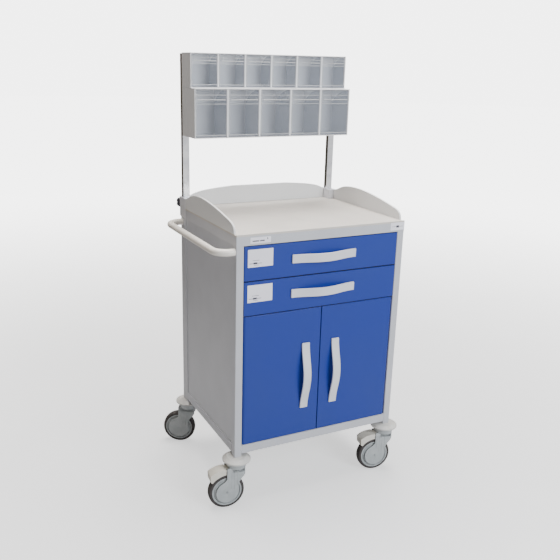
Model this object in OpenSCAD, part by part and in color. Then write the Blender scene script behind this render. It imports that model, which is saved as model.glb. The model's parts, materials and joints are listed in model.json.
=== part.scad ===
// Medication cart: a sheet-steel cabinet on four swivel casters, with two drawers, a two-door
// cupboard, a push handle and a raised unit of clear tilt bins on two telescopic uprights.
// Units are millimetres. +Z is up, the front faces -Y, and the floor is z = 0.

/* [Cabinet] */
// Overall width of the cabinet body
body_w = 623; // [560:1:760]
// Overall depth of the cabinet body
body_d = 504; // [460:1:620]
// Height of the work surface above the floor
worktop_z = 947; // [880:1:1150]
// Height of the worktop's front band
band_h = 35; // [28:1:45]
// Height of the underside of the base tray above the floor
base_z = 197; // [192:1:230]
// Height of the base tray's rim
base_h = 30; // [24:1:45]
// Thickness of the folded sheet steel
sheet = 1.5; // [1:0.1:2.5]

/* [Frame] */
// Width of a front corner post
front_post_w = 26; // [22:1:32]
// Depth of a front corner post
front_post_d = 26; // [22:1:32]
// Width of a rear corner post, which holds an upright
rear_post_w = 30; // [28:1:38]
// Depth of a rear corner post
rear_post_d = 50; // [46:1:60]
// Height of the bottom of the posts above the floor
post_z = 186; // [184:1:190]
// How far a side or back panel sits inside the posts' faces
panel_inset = 3; // [1:0.5:6]
// Depth of a panel's folded edge
panel_fold = 9; // [6:1:14]

/* [Worktop] */
// Thickness of the moulded work surface
top_t = 4; // [3:0.5:6]
// Thickness of the upstands round the work surface
upstand_t = 7; // [5:1:10]
// Height of the side upstands at their crest
side_crest = 66; // [50:1:90]
// Height of the rear upstand at its crest
rear_crest = 66; // [50:1:90]
// Height of the upstands where they meet the upright sockets
corner_h = 35; // [25:1:45]
// Distance from the front edge to the foot of a side upstand
upstand_front = 20; // [12:1:40]
// Height of the raised lip along the front edge
lip_h = 1.5; // [1:0.5:3]

/* [Drawers and doors] */
// Height of one drawer's bay
drawer_bay = 115; // [100:1:125]
// Visible gap between neighbouring fronts
front_gap = 3; // [2:0.5:4]
// Thickness of the drawer fronts and doors
front_t = 18; // [16:0.5:22]
// Length of the drawer boxes and their slides
slide_len = 450; // [360:10:450]
// Height of a drawer box
drawer_box_h = 90; // [60:1:95]
// Width left on each side of a drawer box for its slide
slide_space = 13; // [12.7:0.1:15]
// Height of a slide's outer channel
slide_h = 44; // [36:1:50]
// Width of the gap inside a front's hinge edge that a door turns in
hinge_gap = 1.5; // [1:0.1:2.5]
// Radius of the doors' pivot pins
pivot_r = 3; // [2:0.5:4]
// Height of the cupboard shelf
shelf_z = 455; // [380:5:520]

/* [Handles] */
// Length of a bow handle
bow_len = 238; // [180:1:250]
// Width of a bow handle's strip
bow_w = 28.5; // [20:0.5:34]
// Thickness of a bow handle's strip
bow_t = 6; // [4:0.5:8]
// How far a bow handle's face stands out from its panel
bow_rise = 26; // [22:1:34]
// Distance from the doors' meeting line to a door handle's centre line
door_handle_x = 57; // [40:1:90]
// Height of the centre of the door handles
door_handle_z = 443; // [400:1:480]
// Outer radius of the push handle's tube
push_r = 11.5; // [10:0.5:14]
// Distance from the cabinet's side to the push handle's centre line
push_out = 57; // [50:1:80]
// Inner-line bend radius of the push handle
push_bend = 42; // [35:1:48]
// Distance of the push handle's centre line below the work surface
push_drop = 54; // [45:1:70]

/* [Casters] */
// Radius of the tyre
tyre_r = 62.5; // [50:0.5:62.5]
// Width of the tyre
tyre_w = 28; // [24:1:30]
// Thickness of a wheel's soft tread
tread_t = 10.5; // [8.5:0.5:22.5]
// Distance from a caster's swivel axis back to its wheel axle
trail = 37; // [30:1:42]
// Radius of the bumper disc under each post
bumper_r = 48; // [40:1:55]
// Resting turn of the casters, front left, front right, rear left, rear right
caster_turn = [-6, -10, -31, -17];
// Radius of the wheel axle
axle_r = 4; // [3:0.5:6]
// Radius of the swivel stem
stem_r = 6; // [5:0.5:8]
// Reach of the brake pedal behind the swivel axis
pedal_reach = 97; // [85:1:105]

/* [Bin unit] */
// Width of the bin housings
bins_w = 600; // [500:5:610]
// Height of the underside of the bin unit above the floor
bins_z = 1201; // [1120:1:1300]
// Height of the lower housing
lower_h = 164; // [140:1:200]
// Depth of the lower housing
lower_d = 122; // [105:1:150]
// Number of bins in the lower housing; the model holds one part for each
lower_count = 5; // [5:1:5]
// Height of the upper housing
upper_h = 113; // [95:1:140]
// Depth of the upper housing
upper_d = 85; // [75:1:100]
// Number of bins in the upper housing; the model holds one part for each
upper_count = 6; // [6:1:6]
// Wall thickness of the housings
housing_t = 3; // [2:0.5:4]
// Width of the divider between two bins
divider_t = 8; // [6:1:10]
// Wall thickness of the bins
bin_t = 1.8; // [1.5:0.1:3]
// Sideways offset of the bin unit from the cabinet's centre
bins_shift = -10; // [-10:1:10]

/* [Uprights] */
// Width of an upright's tube
upright_w = 25; // [20:1:25]
// Depth of an upright's tube
upright_d = 20; // [16:1:22]
// Wall thickness of an upright's tube
upright_wall = 1.5; // [1.2:0.1:2]
// Length of upright inside its post
upright_in = 300; // [250:10:400]
// Height of the socket on each rear post
socket_h = 70; // [60:1:90]
// Radius of the clamping knob
knob_r = 22; // [16:1:26]
// Radius of the clamping knob's screw
screw_r = 4; // [3:0.5:5]

/* [Hidden] */
$fn = 64;

// Clearances: between parts that only lie near each other, and round pins that turn
near = 0.3;
running = 0.05;
// A cut reaches this far past the face that it opens
over = 1;

// Cabinet levels and half sizes
half_w = body_w / 2;
half_d = body_d / 2;
carcass_top = worktop_z - band_h;
base_top = base_z + base_h;
drawers_z = carcass_top - 2 * drawer_bay;
bay_half_w = half_w - front_post_w;
rear_bay_half_w = half_w - rear_post_w;
front_y = -half_d;
front_back_y = front_y + front_t;
fronts_half_w = bay_half_w - hinge_gap;

// Sheet divider between the drawers and the cupboard, centred in the gap between the fronts
divider_sheet = front_gap - 4 * near;
divider_z = drawers_z - divider_sheet / 2;

// Doors
door_z0 = base_top + front_gap / 2 + near;
door_z1 = drawers_z - front_gap / 2;
door_pivot_x = fronts_half_w - front_t / 2;
door_pivot_y = front_y + front_t / 2;
pivot_depth = 10;
meeting_gap = front_gap;

// Drawer slides: three nested channels, each with this play to the next
slide_play = 0.5;
slide_outer_x = rear_bay_half_w;
drawer_half_w = slide_outer_x - slide_space;
slide_y0 = front_back_y + near;
drawer_box_rise = 10;
slide_rise = 50;

// Swivel axes of the casters
front_swivel_x = half_w - front_post_w / 2;
front_swivel_y = -half_d + front_post_d / 2;
rear_swivel_x = half_w - rear_post_w / 2;
rear_swivel_y = half_d - rear_post_w / 2;
bumper_z = 172;
fork_top = bumper_z - near;
fork_neck_r = 33;
fork_deck = 131;
leg_gap = tyre_w / 2 + 2;
leg_t = 4.5;
pedal_pivot = [-31, 143];
pedal_pin_r = 2.5;
stem_in = 34;
head_r = 9;
head_h = 4;
head_z = 140;
rim_r = tyre_r - tread_t;

// Uprights stand in the rear posts, close to the posts' rear walls
post_wall = 1.5;
upright_x = rear_swivel_x;
upright_y1 = half_d - post_wall - 1;
upright_y0 = upright_y1 - upright_d;
socket_y0 = upright_y0 - 5.5;
socket_y1 = half_d + 10;
socket_top = carcass_top + socket_h;
upright_fit = 0.2;
upright_z0 = socket_top - upright_in;

// Bin unit
bins_back = upright_y0 - 3.5;
upper_z = bins_z + lower_h;
bins_top = upper_z + upper_h;
upright_top = bins_top - 5;
bin_pivot = 6;
bin_pin_r = 2;
bin_pin_len = 2;
bin_side_gap = 0.8;

// The frame's origin is on the floor below the middle of the whole cart's outline, which the
// casters, the bumper discs and the turned rear wheel set
function reach_x(x, turn) = x + (trail + tyre_r) * cos(turn);
outline_left = reach_x(front_swivel_x, caster_turn[0]);
outline_right = front_swivel_x + bumper_r;
outline_front = -front_swivel_y + bumper_r;
outline_rear = rear_swivel_y + (trail + tyre_r) * sin(-caster_turn[2])
    + tyre_w / 2 * cos(caster_turn[2]);
shift = [(outline_left - outline_right) / 2, (outline_front - outline_rear) / 2, 0];

// Colours
blue = "#2F5BA8";
light_grey = "#C6C8CC";
warm_white = "#DAD5CF";
steel = "#B9BDC2";
chrome = "#D8DADD";
clear = "#C3CCD6";
dark = "#33343B";
caster_grey = "#AEB4B8";
tyre_grey = "#4A4848";

// ---------- Helpers ----------

// A box given by its lowest and highest corners
module span(lo, hi) {
    translate(lo)
        cube(hi - lo);
}

// The same thing on the left and on the right of the cabinet's middle plane
module both_sides() {
    children();
    mirror([1, 0, 0])
        children();
}

// A box with its four upright edges rounded
module rounded_span(lo, hi, r) {
    size = hi - lo;
    translate(lo) {
        translate([r, 0, 0])
            cube([size.x - 2 * r, size.y, size.z]);
        translate([0, r, 0])
            cube([size.x, size.y - 2 * r, size.z]);
        for (x = [r, size.x - r], y = [r, size.y - r])
            translate([x, y, 0])
                cylinder(r = r, h = size.z);
    }
}

// An open-topped pan with walls of one thickness
module pan(lo, hi, t) {
    difference() {
        span(lo, hi);
        span(lo + [t, t, t], hi + [-t, -t, over]);
    }
}

// A point on a cubic curve through four control points
function curve_point(p, t) =
    pow(1 - t, 3) * p[0] + 3 * pow(1 - t, 2) * t * p[1]
    + 3 * (1 - t) * t * t * p[2] + t * t * t * p[3];
function curve(p, steps) = [for (i = [0 : steps]) curve_point(p, i / steps)];

// Puts a caster's parts, drawn with the swivel axis at the origin and the wheel trailing to -X,
// under its post
caster_xy = [
    [-front_swivel_x, front_swivel_y], [front_swivel_x, front_swivel_y],
    [-rear_swivel_x, rear_swivel_y], [rear_swivel_x, rear_swivel_y]];
module at_caster(i) {
    translate([caster_xy[i].x, caster_xy[i].y, 0])
        rotate([0, 0, caster_turn[i]])
            children();
}

// ---------- Cabinet frame and panels ----------

module post(lo, w, d) {
    top = carcass_top - post_z;
    translate([lo.x, lo.y, post_z])
        difference() {
            cube([w, d, top]);
            translate([post_wall, post_wall, -over])
                cube([w - 2 * post_wall, d - 2 * post_wall, top + 2 * over]);
        }
}

// Four hollow posts carry the cabinet; the rear ones are wider, and hold the uprights
module corner_posts() color(light_grey) both_sides() {
    post([bay_half_w, -half_d], front_post_w, front_post_d);
    post([rear_bay_half_w, half_d - rear_post_d], rear_post_w, rear_post_d);
}

// Folded ring that stands on the posts inside the worktop's skirt
module top_frame() color(light_grey) {
    z1 = worktop_z - top_t;
    x = half_w - top_t - near;
    y = half_d - top_t - near;
    flange = 32;
    difference() {
        span([-x, -y, carcass_top], [x, y, z1]);
        span([-x + sheet, -y + sheet, carcass_top - over], [x - sheet, y - sheet, z1 - sheet]);
        span([-x + flange, -y + flange, carcass_top - over],
            [x - flange, y - flange, z1 + over]);
        both_sides()
            span([rear_bay_half_w - 2 * near, socket_y0 - 2 * near, carcass_top - over],
                [half_w, half_d, z1 + over]);
    }
}

// Bottom pan, upside down, whose rim shows as the bottom rails between the posts
module base_tray() color(light_grey) difference() {
    span([-half_w, -half_d, base_z], [half_w, half_d, base_top]);
    span([-half_w + sheet, -half_d + sheet, base_z - over],
        [half_w - sheet, half_d - sheet, base_top - sheet]);
    both_sides() {
        span([bay_half_w, -half_d - over, base_z - over],
            [half_w + over, -half_d + front_post_d, base_top + over]);
        span([rear_bay_half_w, half_d - rear_post_d, base_z - over],
            [half_w + over, half_d + over, base_top + over]);
    }
    both_sides()
        translate([door_pivot_x, door_pivot_y, base_z])
            cylinder(r = pivot_r + running, h = base_h + over);
}

// Side sheet with its edges folded inwards
module side_panel() color(light_grey) {
    x = half_w - panel_inset;
    y0 = -half_d + front_post_d;
    y1 = half_d - rear_post_d;
    difference() {
        span([x - panel_fold, y0, base_top], [x, y1, carcass_top]);
        span([x - panel_fold - over, y0 + sheet, base_top + sheet],
            [x - sheet, y1 - sheet, carcass_top - sheet]);
    }
}
module side_panel_right() side_panel();
module side_panel_left() mirror([1, 0, 0]) side_panel();

// Rear sheet with its edges folded inwards
module back_panel() color(light_grey) {
    y = half_d - panel_inset;
    x = rear_bay_half_w;
    difference() {
        span([-x, y - panel_fold, base_top], [x, y, carcass_top]);
        span([-x + sheet, y - panel_fold - over, base_top + sheet],
            [x - sheet, y - sheet, carcass_top - sheet]);
    }
}

// Sheet between the drawers and the cupboard, with two tabs that carry the doors' upper pivots
module divider_panel() color(light_grey) {
    z1 = divider_z + divider_sheet;
    y1 = half_d - panel_inset - panel_fold - near;
    tab = 20;
    difference() {
        union() {
            span([-rear_bay_half_w, front_back_y + near, divider_z], [rear_bay_half_w, y1, z1]);
            both_sides()
                span([bay_half_w - tab, front_y + 2, divider_z],
                    [bay_half_w, front_back_y + tab, z1]);
        }
        both_sides()
            translate([door_pivot_x, door_pivot_y, divider_z - over])
                cylinder(r = pivot_r + running, h = divider_sheet + 2 * over);
    }
}

// ---------- Worktop ----------

// Outline of a side upstand in depth and height: a round nose, a long rise to the crest and a
// fall to the socket
function side_upstand() =
    let(y0 = -half_d + upstand_front, y1 = socket_y0 - near, len = y1 - y0,
        nose = side_crest * 0.56)
    concat(
        [[y0, -top_t / 2]],
        curve([[y0, 0], [y0, 0.4 * side_crest], [y0 + 17, 0.48 * side_crest],
            [y0 + 42, nose]], 8),
        curve([[y0 + 42, nose], [y0 + 0.38 * len, 0.91 * side_crest],
            [y0 + 0.64 * len, 1.14 * side_crest], [y0 + 0.84 * len, 0.88 * side_crest]], 16),
        curve([[y0 + 0.84 * len, 0.88 * side_crest], [y0 + 0.9 * len, 0.79 * side_crest],
            [y0 + 0.95 * len, corner_h + 3], [y1, corner_h]], 8),
        [[y1, -top_t / 2]]);

// One half of the rear upstand's outline in width and height, from its end to its flat crest
function rear_upstand_half() =
    let(x = rear_bay_half_w - near)
    concat([[-x, -top_t / 2]],
        curve([[-x, corner_h], [-x + 26, 0.85 * rear_crest], [-x + 91, 0.91 * rear_crest],
            [-x + 171, rear_crest]], 12));

module worktop_upstands() {
    both_sides()
        translate([half_w - upstand_t, 0, worktop_z])
            rotate([90, 0, 90])
                linear_extrude(upstand_t)
                    polygon(side_upstand());
    left = rear_upstand_half();
    right = [for (i = [len(left) - 1 : -1 : 0]) [-left[i].x, left[i].y]];
    translate([0, half_d, worktop_z])
        rotate([90, 0, 0])
            linear_extrude(upstand_t)
                polygon(concat(left, right));
}

// Moulded tray: a skirted slab with a front lip and upstands on the other three sides
module worktop() color(warm_white) {
    difference() {
        span([-half_w, -half_d, carcass_top], [half_w, half_d, worktop_z]);
        span([-half_w + top_t, -half_d + top_t, carcass_top - over],
            [half_w - top_t, half_d - top_t, worktop_z - top_t]);
        both_sides()
            span([rear_bay_half_w - near, socket_y0 - near, carcass_top - over],
                [half_w + over, half_d + over, worktop_z + over]);
    }
    span([-half_w, -half_d, worktop_z - lip_h], [half_w, -half_d + 6, worktop_z + lip_h]);
    worktop_upstands();
}

// ---------- Cupboard ----------

// Shelf with a folded rim, on four clips fixed to the posts
module cupboard_shelf() color(light_grey) {
    x = rear_bay_half_w - 2;
    y0 = front_back_y + 9;
    y1 = half_d - panel_inset - panel_fold - 4;
    clip = [9, 18, 8];
    difference() {
        span([-x, y0, shelf_z - 18], [x, y1, shelf_z]);
        span([-x + sheet, y0 + sheet, shelf_z - 18 - over], [x - sheet, y1 - sheet, shelf_z - sheet]);
    }
    z = shelf_z - 18 - clip.z - near;
    both_sides() {
        span([bay_half_w - clip.x - 3, -half_d + front_post_d - 6, z],
            [bay_half_w, -half_d + front_post_d - 6 + clip.y, z + clip.z]);
        span([rear_bay_half_w - clip.x, half_d - rear_post_d + 4, z],
            [rear_bay_half_w, half_d - rear_post_d + 4 + clip.y, z + clip.z]);
    }
}

// Magnetic catches under the divider, behind the doors' meeting edges
module door_catches() color(dark) both_sides() {
    size = [30, 14, 12];
    span([10, front_back_y + 2 * near, divider_z - size.z],
        [10 + size.x, front_back_y + 2 * near + size.y, divider_z]);
}

// Four pins that the doors turn on: two stand in the base tray, two hang from the divider
module door_pivots() color(steel) both_sides()
    translate([door_pivot_x, door_pivot_y, 0]) {
        translate([0, 0, base_top - sheet])
            cylinder(r = pivot_r, h = door_z0 + pivot_depth - base_top + sheet - near);
        translate([0, 0, base_top])
            cylinder(r = 2 * pivot_r, h = door_z0 - base_top - near);
        translate([0, 0, door_z1 - pivot_depth + near])
            cylinder(r = pivot_r, h = divider_z + divider_sheet - door_z1 + pivot_depth - near);
    }

// A right-hand door: an open-backed pan whose hinge edge is a half round about the pivot
module door() {
    x0 = meeting_gap / 2;
    h = door_z1 - door_z0;
    difference() {
        union() {
            span([x0, front_y, door_z0], [door_pivot_x, front_back_y, door_z1]);
            translate([door_pivot_x, door_pivot_y, door_z0])
                cylinder(r = front_t / 2, h = h);
        }
        span([x0 + sheet, front_y + sheet, door_z0 + 14],
            [door_pivot_x - front_t, front_back_y + over, door_z1 - 14]);
        for (z = [door_z0 - over, door_z1 - pivot_depth])
            translate([door_pivot_x, door_pivot_y, z])
                cylinder(r = pivot_r + running, h = pivot_depth + over);
    }
}
module door_right() color(blue) door();
module door_left() color(blue) mirror([1, 0, 0]) door();

// ---------- Drawers ----------

function drawer_z(level) = carcass_top - (level + 1) * drawer_bay;

// Front of a drawer, an open-backed pan
module drawer_front(level) color(blue) {
    z0 = drawer_z(level) + front_gap / 2;
    z1 = drawer_z(level) + drawer_bay - front_gap / 2;
    difference() {
        span([-fronts_half_w, front_y, z0], [fronts_half_w, front_back_y, z1]);
        span([-fronts_half_w + sheet, front_y + sheet, z0 + sheet],
            [fronts_half_w - sheet, front_back_y + over, z1 - sheet]);
    }
}
module drawer_front_upper() drawer_front(0);
module drawer_front_lower() drawer_front(1);

// A C-shaped channel along Y on the right-hand side; mouth is the side of X that it opens to
module slide_channel(x_web, reach, h, z, y0, len, mouth) {
    x_lo = mouth < 0 ? x_web - reach : x_web;
    x_hi = x_lo + reach;
    cut_lo = mouth < 0 ? x_lo - over : x_lo + sheet;
    cut_hi = mouth < 0 ? x_hi - sheet : x_hi + over;
    difference() {
        span([x_lo, y0, z - h / 2], [x_hi, y0 + len, z + h / 2]);
        span([cut_lo, y0 - over, z - h / 2 + sheet], [cut_hi, y0 + len + over, z + h / 2 - sheet]);
    }
}

slide_z = [for (level = [0, 1]) drawer_z(level) + slide_rise];
middle_h = slide_h - 2 * sheet - 2 * slide_play;
inner_h = middle_h - 2 * sheet - 2 * slide_play;
channel_reach = 10;

// Channels fixed to the posts, with a spacer that reaches each front post
module slide_channels() color(steel) both_sides()
    for (z = slide_z) {
        slide_channel(slide_outer_x, channel_reach, slide_h, z, slide_y0, slide_len, -1);
        span([slide_outer_x - sheet, slide_y0, z - 8], [bay_half_w, slide_y0 + 12, z + 8]);
    }

// Middle members, which travel half as far as the drawer
module slide_middle(level) color(steel) both_sides()
    slide_channel(slide_outer_x - sheet - slide_play, channel_reach - sheet, middle_h,
        slide_z[level], slide_y0, slide_len, -1);
module slide_middle_upper() slide_middle(0);
module slide_middle_lower() slide_middle(1);

// Sheet box with the slides' inner members fixed to its sides
module drawer_box(level) color(light_grey) {
    z0 = drawer_z(level) + drawer_box_rise;
    pan([-drawer_half_w, front_back_y, z0],
        [drawer_half_w, front_back_y + slide_len, z0 + drawer_box_h], sheet);
    both_sides()
        slide_channel(drawer_half_w + near, channel_reach - sheet, inner_h, slide_z[level],
            slide_y0, slide_len - 2, 1);
}
module drawer_box_upper() drawer_box(0);
module drawer_box_lower() drawer_box(1);

// ---------- Handles ----------

// A bow handle along X: one strip that lies level on the panel at both ends and bows out between
module bow_handle() {
    half = bow_len / 2;
    rise = bow_rise - bow_t;
    steps = 48;
    xs = [for (i = [0 : steps]) half * (2 * i / steps - 1)];
    inner = [for (x = xs) [x, -rise * (1 + cos(180 * x / half)) / 2]];
    outer = [for (p = inner) p - [0, bow_t]];
    translate([0, 0, -bow_w / 2])
        linear_extrude(bow_w)
            polygon(concat(inner, [for (i = [steps : -1 : 0]) outer[i]]));
}
module drawer_handle(level) color(light_grey)
    translate([0, front_y, drawer_z(level) + drawer_bay / 2 + 1.5])
        bow_handle();
module drawer_handle_upper() drawer_handle(0);
module drawer_handle_lower() drawer_handle(1);

module door_handle() color(light_grey)
    translate([door_handle_x, front_y, door_handle_z])
        rotate([0, 90, 0])
            bow_handle();
module door_handle_right() door_handle();
module door_handle_left() mirror([1, 0, 0]) door_handle();

// Bent tube on the left side, from the front post round to the rear post
module push_handle() color(warm_white) {
    y0 = front_swivel_y;
    y1 = rear_swivel_y;
    z = worktop_z - push_drop;
    leg = push_out - push_bend;
    for (y = [y0, y1])
        translate([-half_w - leg, y, z])
            rotate([0, 90, 0])
                cylinder(r = push_r, h = leg);
    for (end = [[y0 + push_bend, 180], [y1 - push_bend, 90]])
        translate([-half_w - leg, end[0], z])
            rotate([0, 0, end[1]])
                rotate_extrude(angle = 90, $fn = 96)
                    translate([push_bend, 0])
                        circle(r = push_r);
    translate([-half_w - push_out, y0 + push_bend, z])
        rotate([-90, 0, 0])
            cylinder(r = push_r, h = y1 - y0 - 2 * push_bend);
}

// ---------- Uprights and bin unit ----------

// Two tubes that slide in the rear posts, each with a cap and a guide block at its foot
module uprights() both_sides() {
    x0 = upright_x - upright_w / 2;
    x1 = upright_x + upright_w / 2;
    color(chrome)
        difference() {
            span([x0, upright_y0, upright_z0], [x1, upright_y1, upright_top]);
            span([x0 + upright_wall, upright_y0 + upright_wall, upright_z0 - over],
                [x1 - upright_wall, upright_y1 - upright_wall, upright_top + over]);
        }
    color(dark) {
        span([x0, upright_y0, upright_top], [x1, upright_y1, upright_top + 2.5]);
        span([upright_x - rear_post_w / 2 + post_wall + near,
                half_d - rear_post_d + post_wall + near, upright_z0 - 25],
            [upright_x + rear_post_w / 2 - post_wall - near,
                half_d - post_wall - near, upright_z0]);
    }
}

// Blocks on the rear posts' tops that guide and clamp the uprights
module upright_sockets() color(light_grey) both_sides() {
    x0 = rear_bay_half_w;
    x1 = half_w + 1;
    spigot = 20;
    difference() {
        union() {
            rounded_span([x0, socket_y0, carcass_top], [x1, socket_y1, socket_top], 3);
            span([x0 + post_wall + near, half_d - rear_post_d + post_wall + near,
                    carcass_top - spigot],
                [half_w - post_wall - near, upright_y0 - upright_fit, carcass_top]);
        }
        span([upright_x - upright_w / 2 - upright_fit, upright_y0 - upright_fit,
                carcass_top - spigot - over],
            [upright_x + upright_w / 2 + upright_fit, upright_y1 + upright_fit,
                socket_top + over]);
        translate([upright_x, upright_y1, carcass_top + socket_h * 0.65])
            rotate([-90, 0, 0])
                cylinder(r = screw_r + running, h = socket_y1 - upright_y1 + over);
    }
}

// Star knob with the screw that presses on the upright
module clamp_knob() color(dark)
    translate([upright_x, socket_y1 + near, carcass_top + socket_h * 0.65])
        rotate([-90, 0, 0]) {
            grip_r = knob_r * 0.4;
            cylinder(r = knob_r * 0.45, h = 6 + over);
            translate([0, 0, 6])
                difference() {
                    cylinder(r = knob_r, h = 16);
                    for (i = [0 : 5])
                        rotate([0, 0, 60 * i + 20])
                            translate([knob_r + grip_r * 0.55, 0, -over])
                                cylinder(r = grip_r, h = 16 + 2 * over);
                }
            reach = socket_y1 - upright_y1 - near;
            translate([0, 0, -reach])
                cylinder(r = screw_r, h = reach + over);
        }
module clamp_knob_right() clamp_knob();
module clamp_knob_left() mirror([1, 0, 0]) clamp_knob();

// Two flat rails across the uprights, which the housings hang on
module bin_rails() color(steel) {
    x = upright_x + upright_w / 2;
    h = 25;
    for (z = [bins_z + 20, bins_top - 20 - h])
        span([-x, bins_back, z], [x, upright_y0, z + h]);
}

function bay_w(count) = (bins_w - 2 * housing_t - (count - 1) * divider_t) / count;
function bay_x(count, i) =
    bins_shift - bins_w / 2 + housing_t + i * (bay_w(count) + divider_t);

// Blind holes for the pins that the bins of one row tip on
module pin_holes(z0, h, d, count) {
    for (i = [0 : count - 1])
        translate([bay_x(count, i) - bin_pin_len, bins_back - d + bin_pivot,
                z0 + housing_t + bin_pivot + 1])
            rotate([0, 90, 0])
                cylinder(r = bin_pin_r + running, h = bay_w(count) + 2 * bin_pin_len);
}

// Open-fronted housing for one row of bins
module bin_housing(z0, h, d, count) color(light_grey) {
    y0 = bins_back - d;
    x0 = bins_shift - bins_w / 2;
    difference() {
        span([x0, y0, z0], [x0 + bins_w, bins_back, z0 + h]);
        span([x0 + housing_t, y0 - over, z0 + housing_t],
            [x0 + bins_w - housing_t, bins_back - housing_t, z0 + h - housing_t]);
        pin_holes(z0, h, d, count);
    }
}
module bin_housing_lower() bin_housing(bins_z, lower_h, lower_d, lower_count);
module bin_housing_upper() bin_housing(upper_z, upper_h, upper_d, upper_count);

// Upright dividers that part a housing into one bay for each bin
module row_dividers(z0, h, d, count) {
    difference() {
        for (i = [1 : count - 1])
            span([bay_x(count, i) - divider_t, bins_back - d, z0 + housing_t],
                [bay_x(count, i), bins_back - housing_t, z0 + h - housing_t]);
        pin_holes(z0, h, d, count);
    }
}
module bin_dividers() color(light_grey) {
    row_dividers(bins_z, lower_h, lower_d, lower_count);
    row_dividers(upper_z, upper_h, upper_d, upper_count);
}

// Height of a bin above its pivot, and reach of its back behind it
function bin_high(h) = h - 2 * housing_t - bin_pivot - 3;
function bin_back(d) = d - housing_t - bin_pivot - 4;

// Round front foot of a bin about its pivot, in depth and height
function bin_foot(r) = [for (a = [180 : 15 : 270]) [r * cos(a), r * sin(a)]];

// Side outline of a bin: its top is the arc that just clears the bay as the bin tips out
function bin_outline(h, d) =
    let(high = bin_high(h), back = bin_back(d))
    concat(bin_foot(bin_pivot), [[back, -bin_pivot]],
        [for (a = [acos(back / high) : 4 : 88]) [high * cos(a), high * sin(a)]],
        [[0, high], [-bin_pivot, high]]);

// Outline of the hollow of a bin, which runs out of its open top
function bin_hollow(h, d) =
    let(top = bin_high(h) + over, back = bin_back(d) - bin_t)
    concat(bin_foot(bin_pivot - bin_t), [[back, bin_t - bin_pivot], [back, top],
        [bin_t - bin_pivot, top]]);

// Extrudes a depth and height outline across a width
module across(w) {
    rotate([90, 0, 90])
        linear_extrude(w)
            children();
}

// Clear bin, open at the top, with a finger lip and two moulded pins that it tips on
module tilt_bin(z0, h, d, count, i) color(clear) {
    w = bay_w(count) - 2 * bin_side_gap;
    lip_z = 0.78 * bin_high(h);
    pin_reach = bin_side_gap + bin_pin_len - near;
    translate([bay_x(count, i) + bin_side_gap, bins_back - d + bin_pivot,
            z0 + housing_t + bin_pivot + 1]) {
        difference() {
            across(w)
                polygon(bin_outline(h, d));
            translate([bin_t, 0, 0])
                across(w - 2 * bin_t)
                    polygon(bin_hollow(h, d));
        }
        span([0.06 * w, -bin_pivot - 5, lip_z], [0.94 * w, -bin_pivot, lip_z + 2.5]);
        for (x = [-pin_reach, w - bin_t / 2])
            translate([x, 0, 0])
                rotate([0, 90, 0])
                    cylinder(r = bin_pin_r, h = pin_reach + bin_t / 2);
    }
}
module bin_lower(i) tilt_bin(bins_z, lower_h, lower_d, lower_count, i - 1);
module bin_upper(i) tilt_bin(upper_z, upper_h, upper_d, upper_count, i - 1);

// ---------- Casters ----------

// Conical bumper discs that close the posts' lower ends and hold the caster stems
module bumper(post_size) {
    rim_h = 6;
    spigot = post_size - 2 * post_wall - 2 * near;
    difference() {
        union() {
            translate([0, 0, bumper_z])
                cylinder(r = bumper_r, h = rim_h);
            translate([0, 0, bumper_z + rim_h])
                cylinder(r1 = bumper_r, r2 = bumper_r - 8, h = post_z - bumper_z - rim_h);
            span([-spigot / 2, -spigot / 2, post_z - over], [spigot / 2, spigot / 2, post_z + stem_in]);
        }
        translate([0, 0, bumper_z - over])
            cylinder(r = stem_r + running, h = post_z - bumper_z + stem_in + 2 * over);
    }
}
module corner_bumpers() color(caster_grey)
    for (i = [0 : 3])
        translate([caster_xy[i].x, caster_xy[i].y, 0])
            bumper(i < 2 ? front_post_w : rear_post_w);

// Steel stems that the casters swivel on, each with a head that keeps its fork on
module caster_stems() color(steel)
    for (xy = caster_xy)
        translate([xy.x, xy.y, head_z]) {
            cylinder(r = stem_r, h = post_z + stem_in - head_z);
            cylinder(r = head_r, h = head_h);
        }

// Side outline of a fork's leg, which comes down from the deck to the axle
leg_outline = [[-38, fork_deck + 21], [26, fork_deck + 21], [26, fork_deck - 8], [8, 104],
    [-trail + 16, tyre_r + 3], [-trail - 16, tyre_r + 3], [-trail - 7, 93], [-33, 110],
    [-38, fork_deck - 6]];

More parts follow.
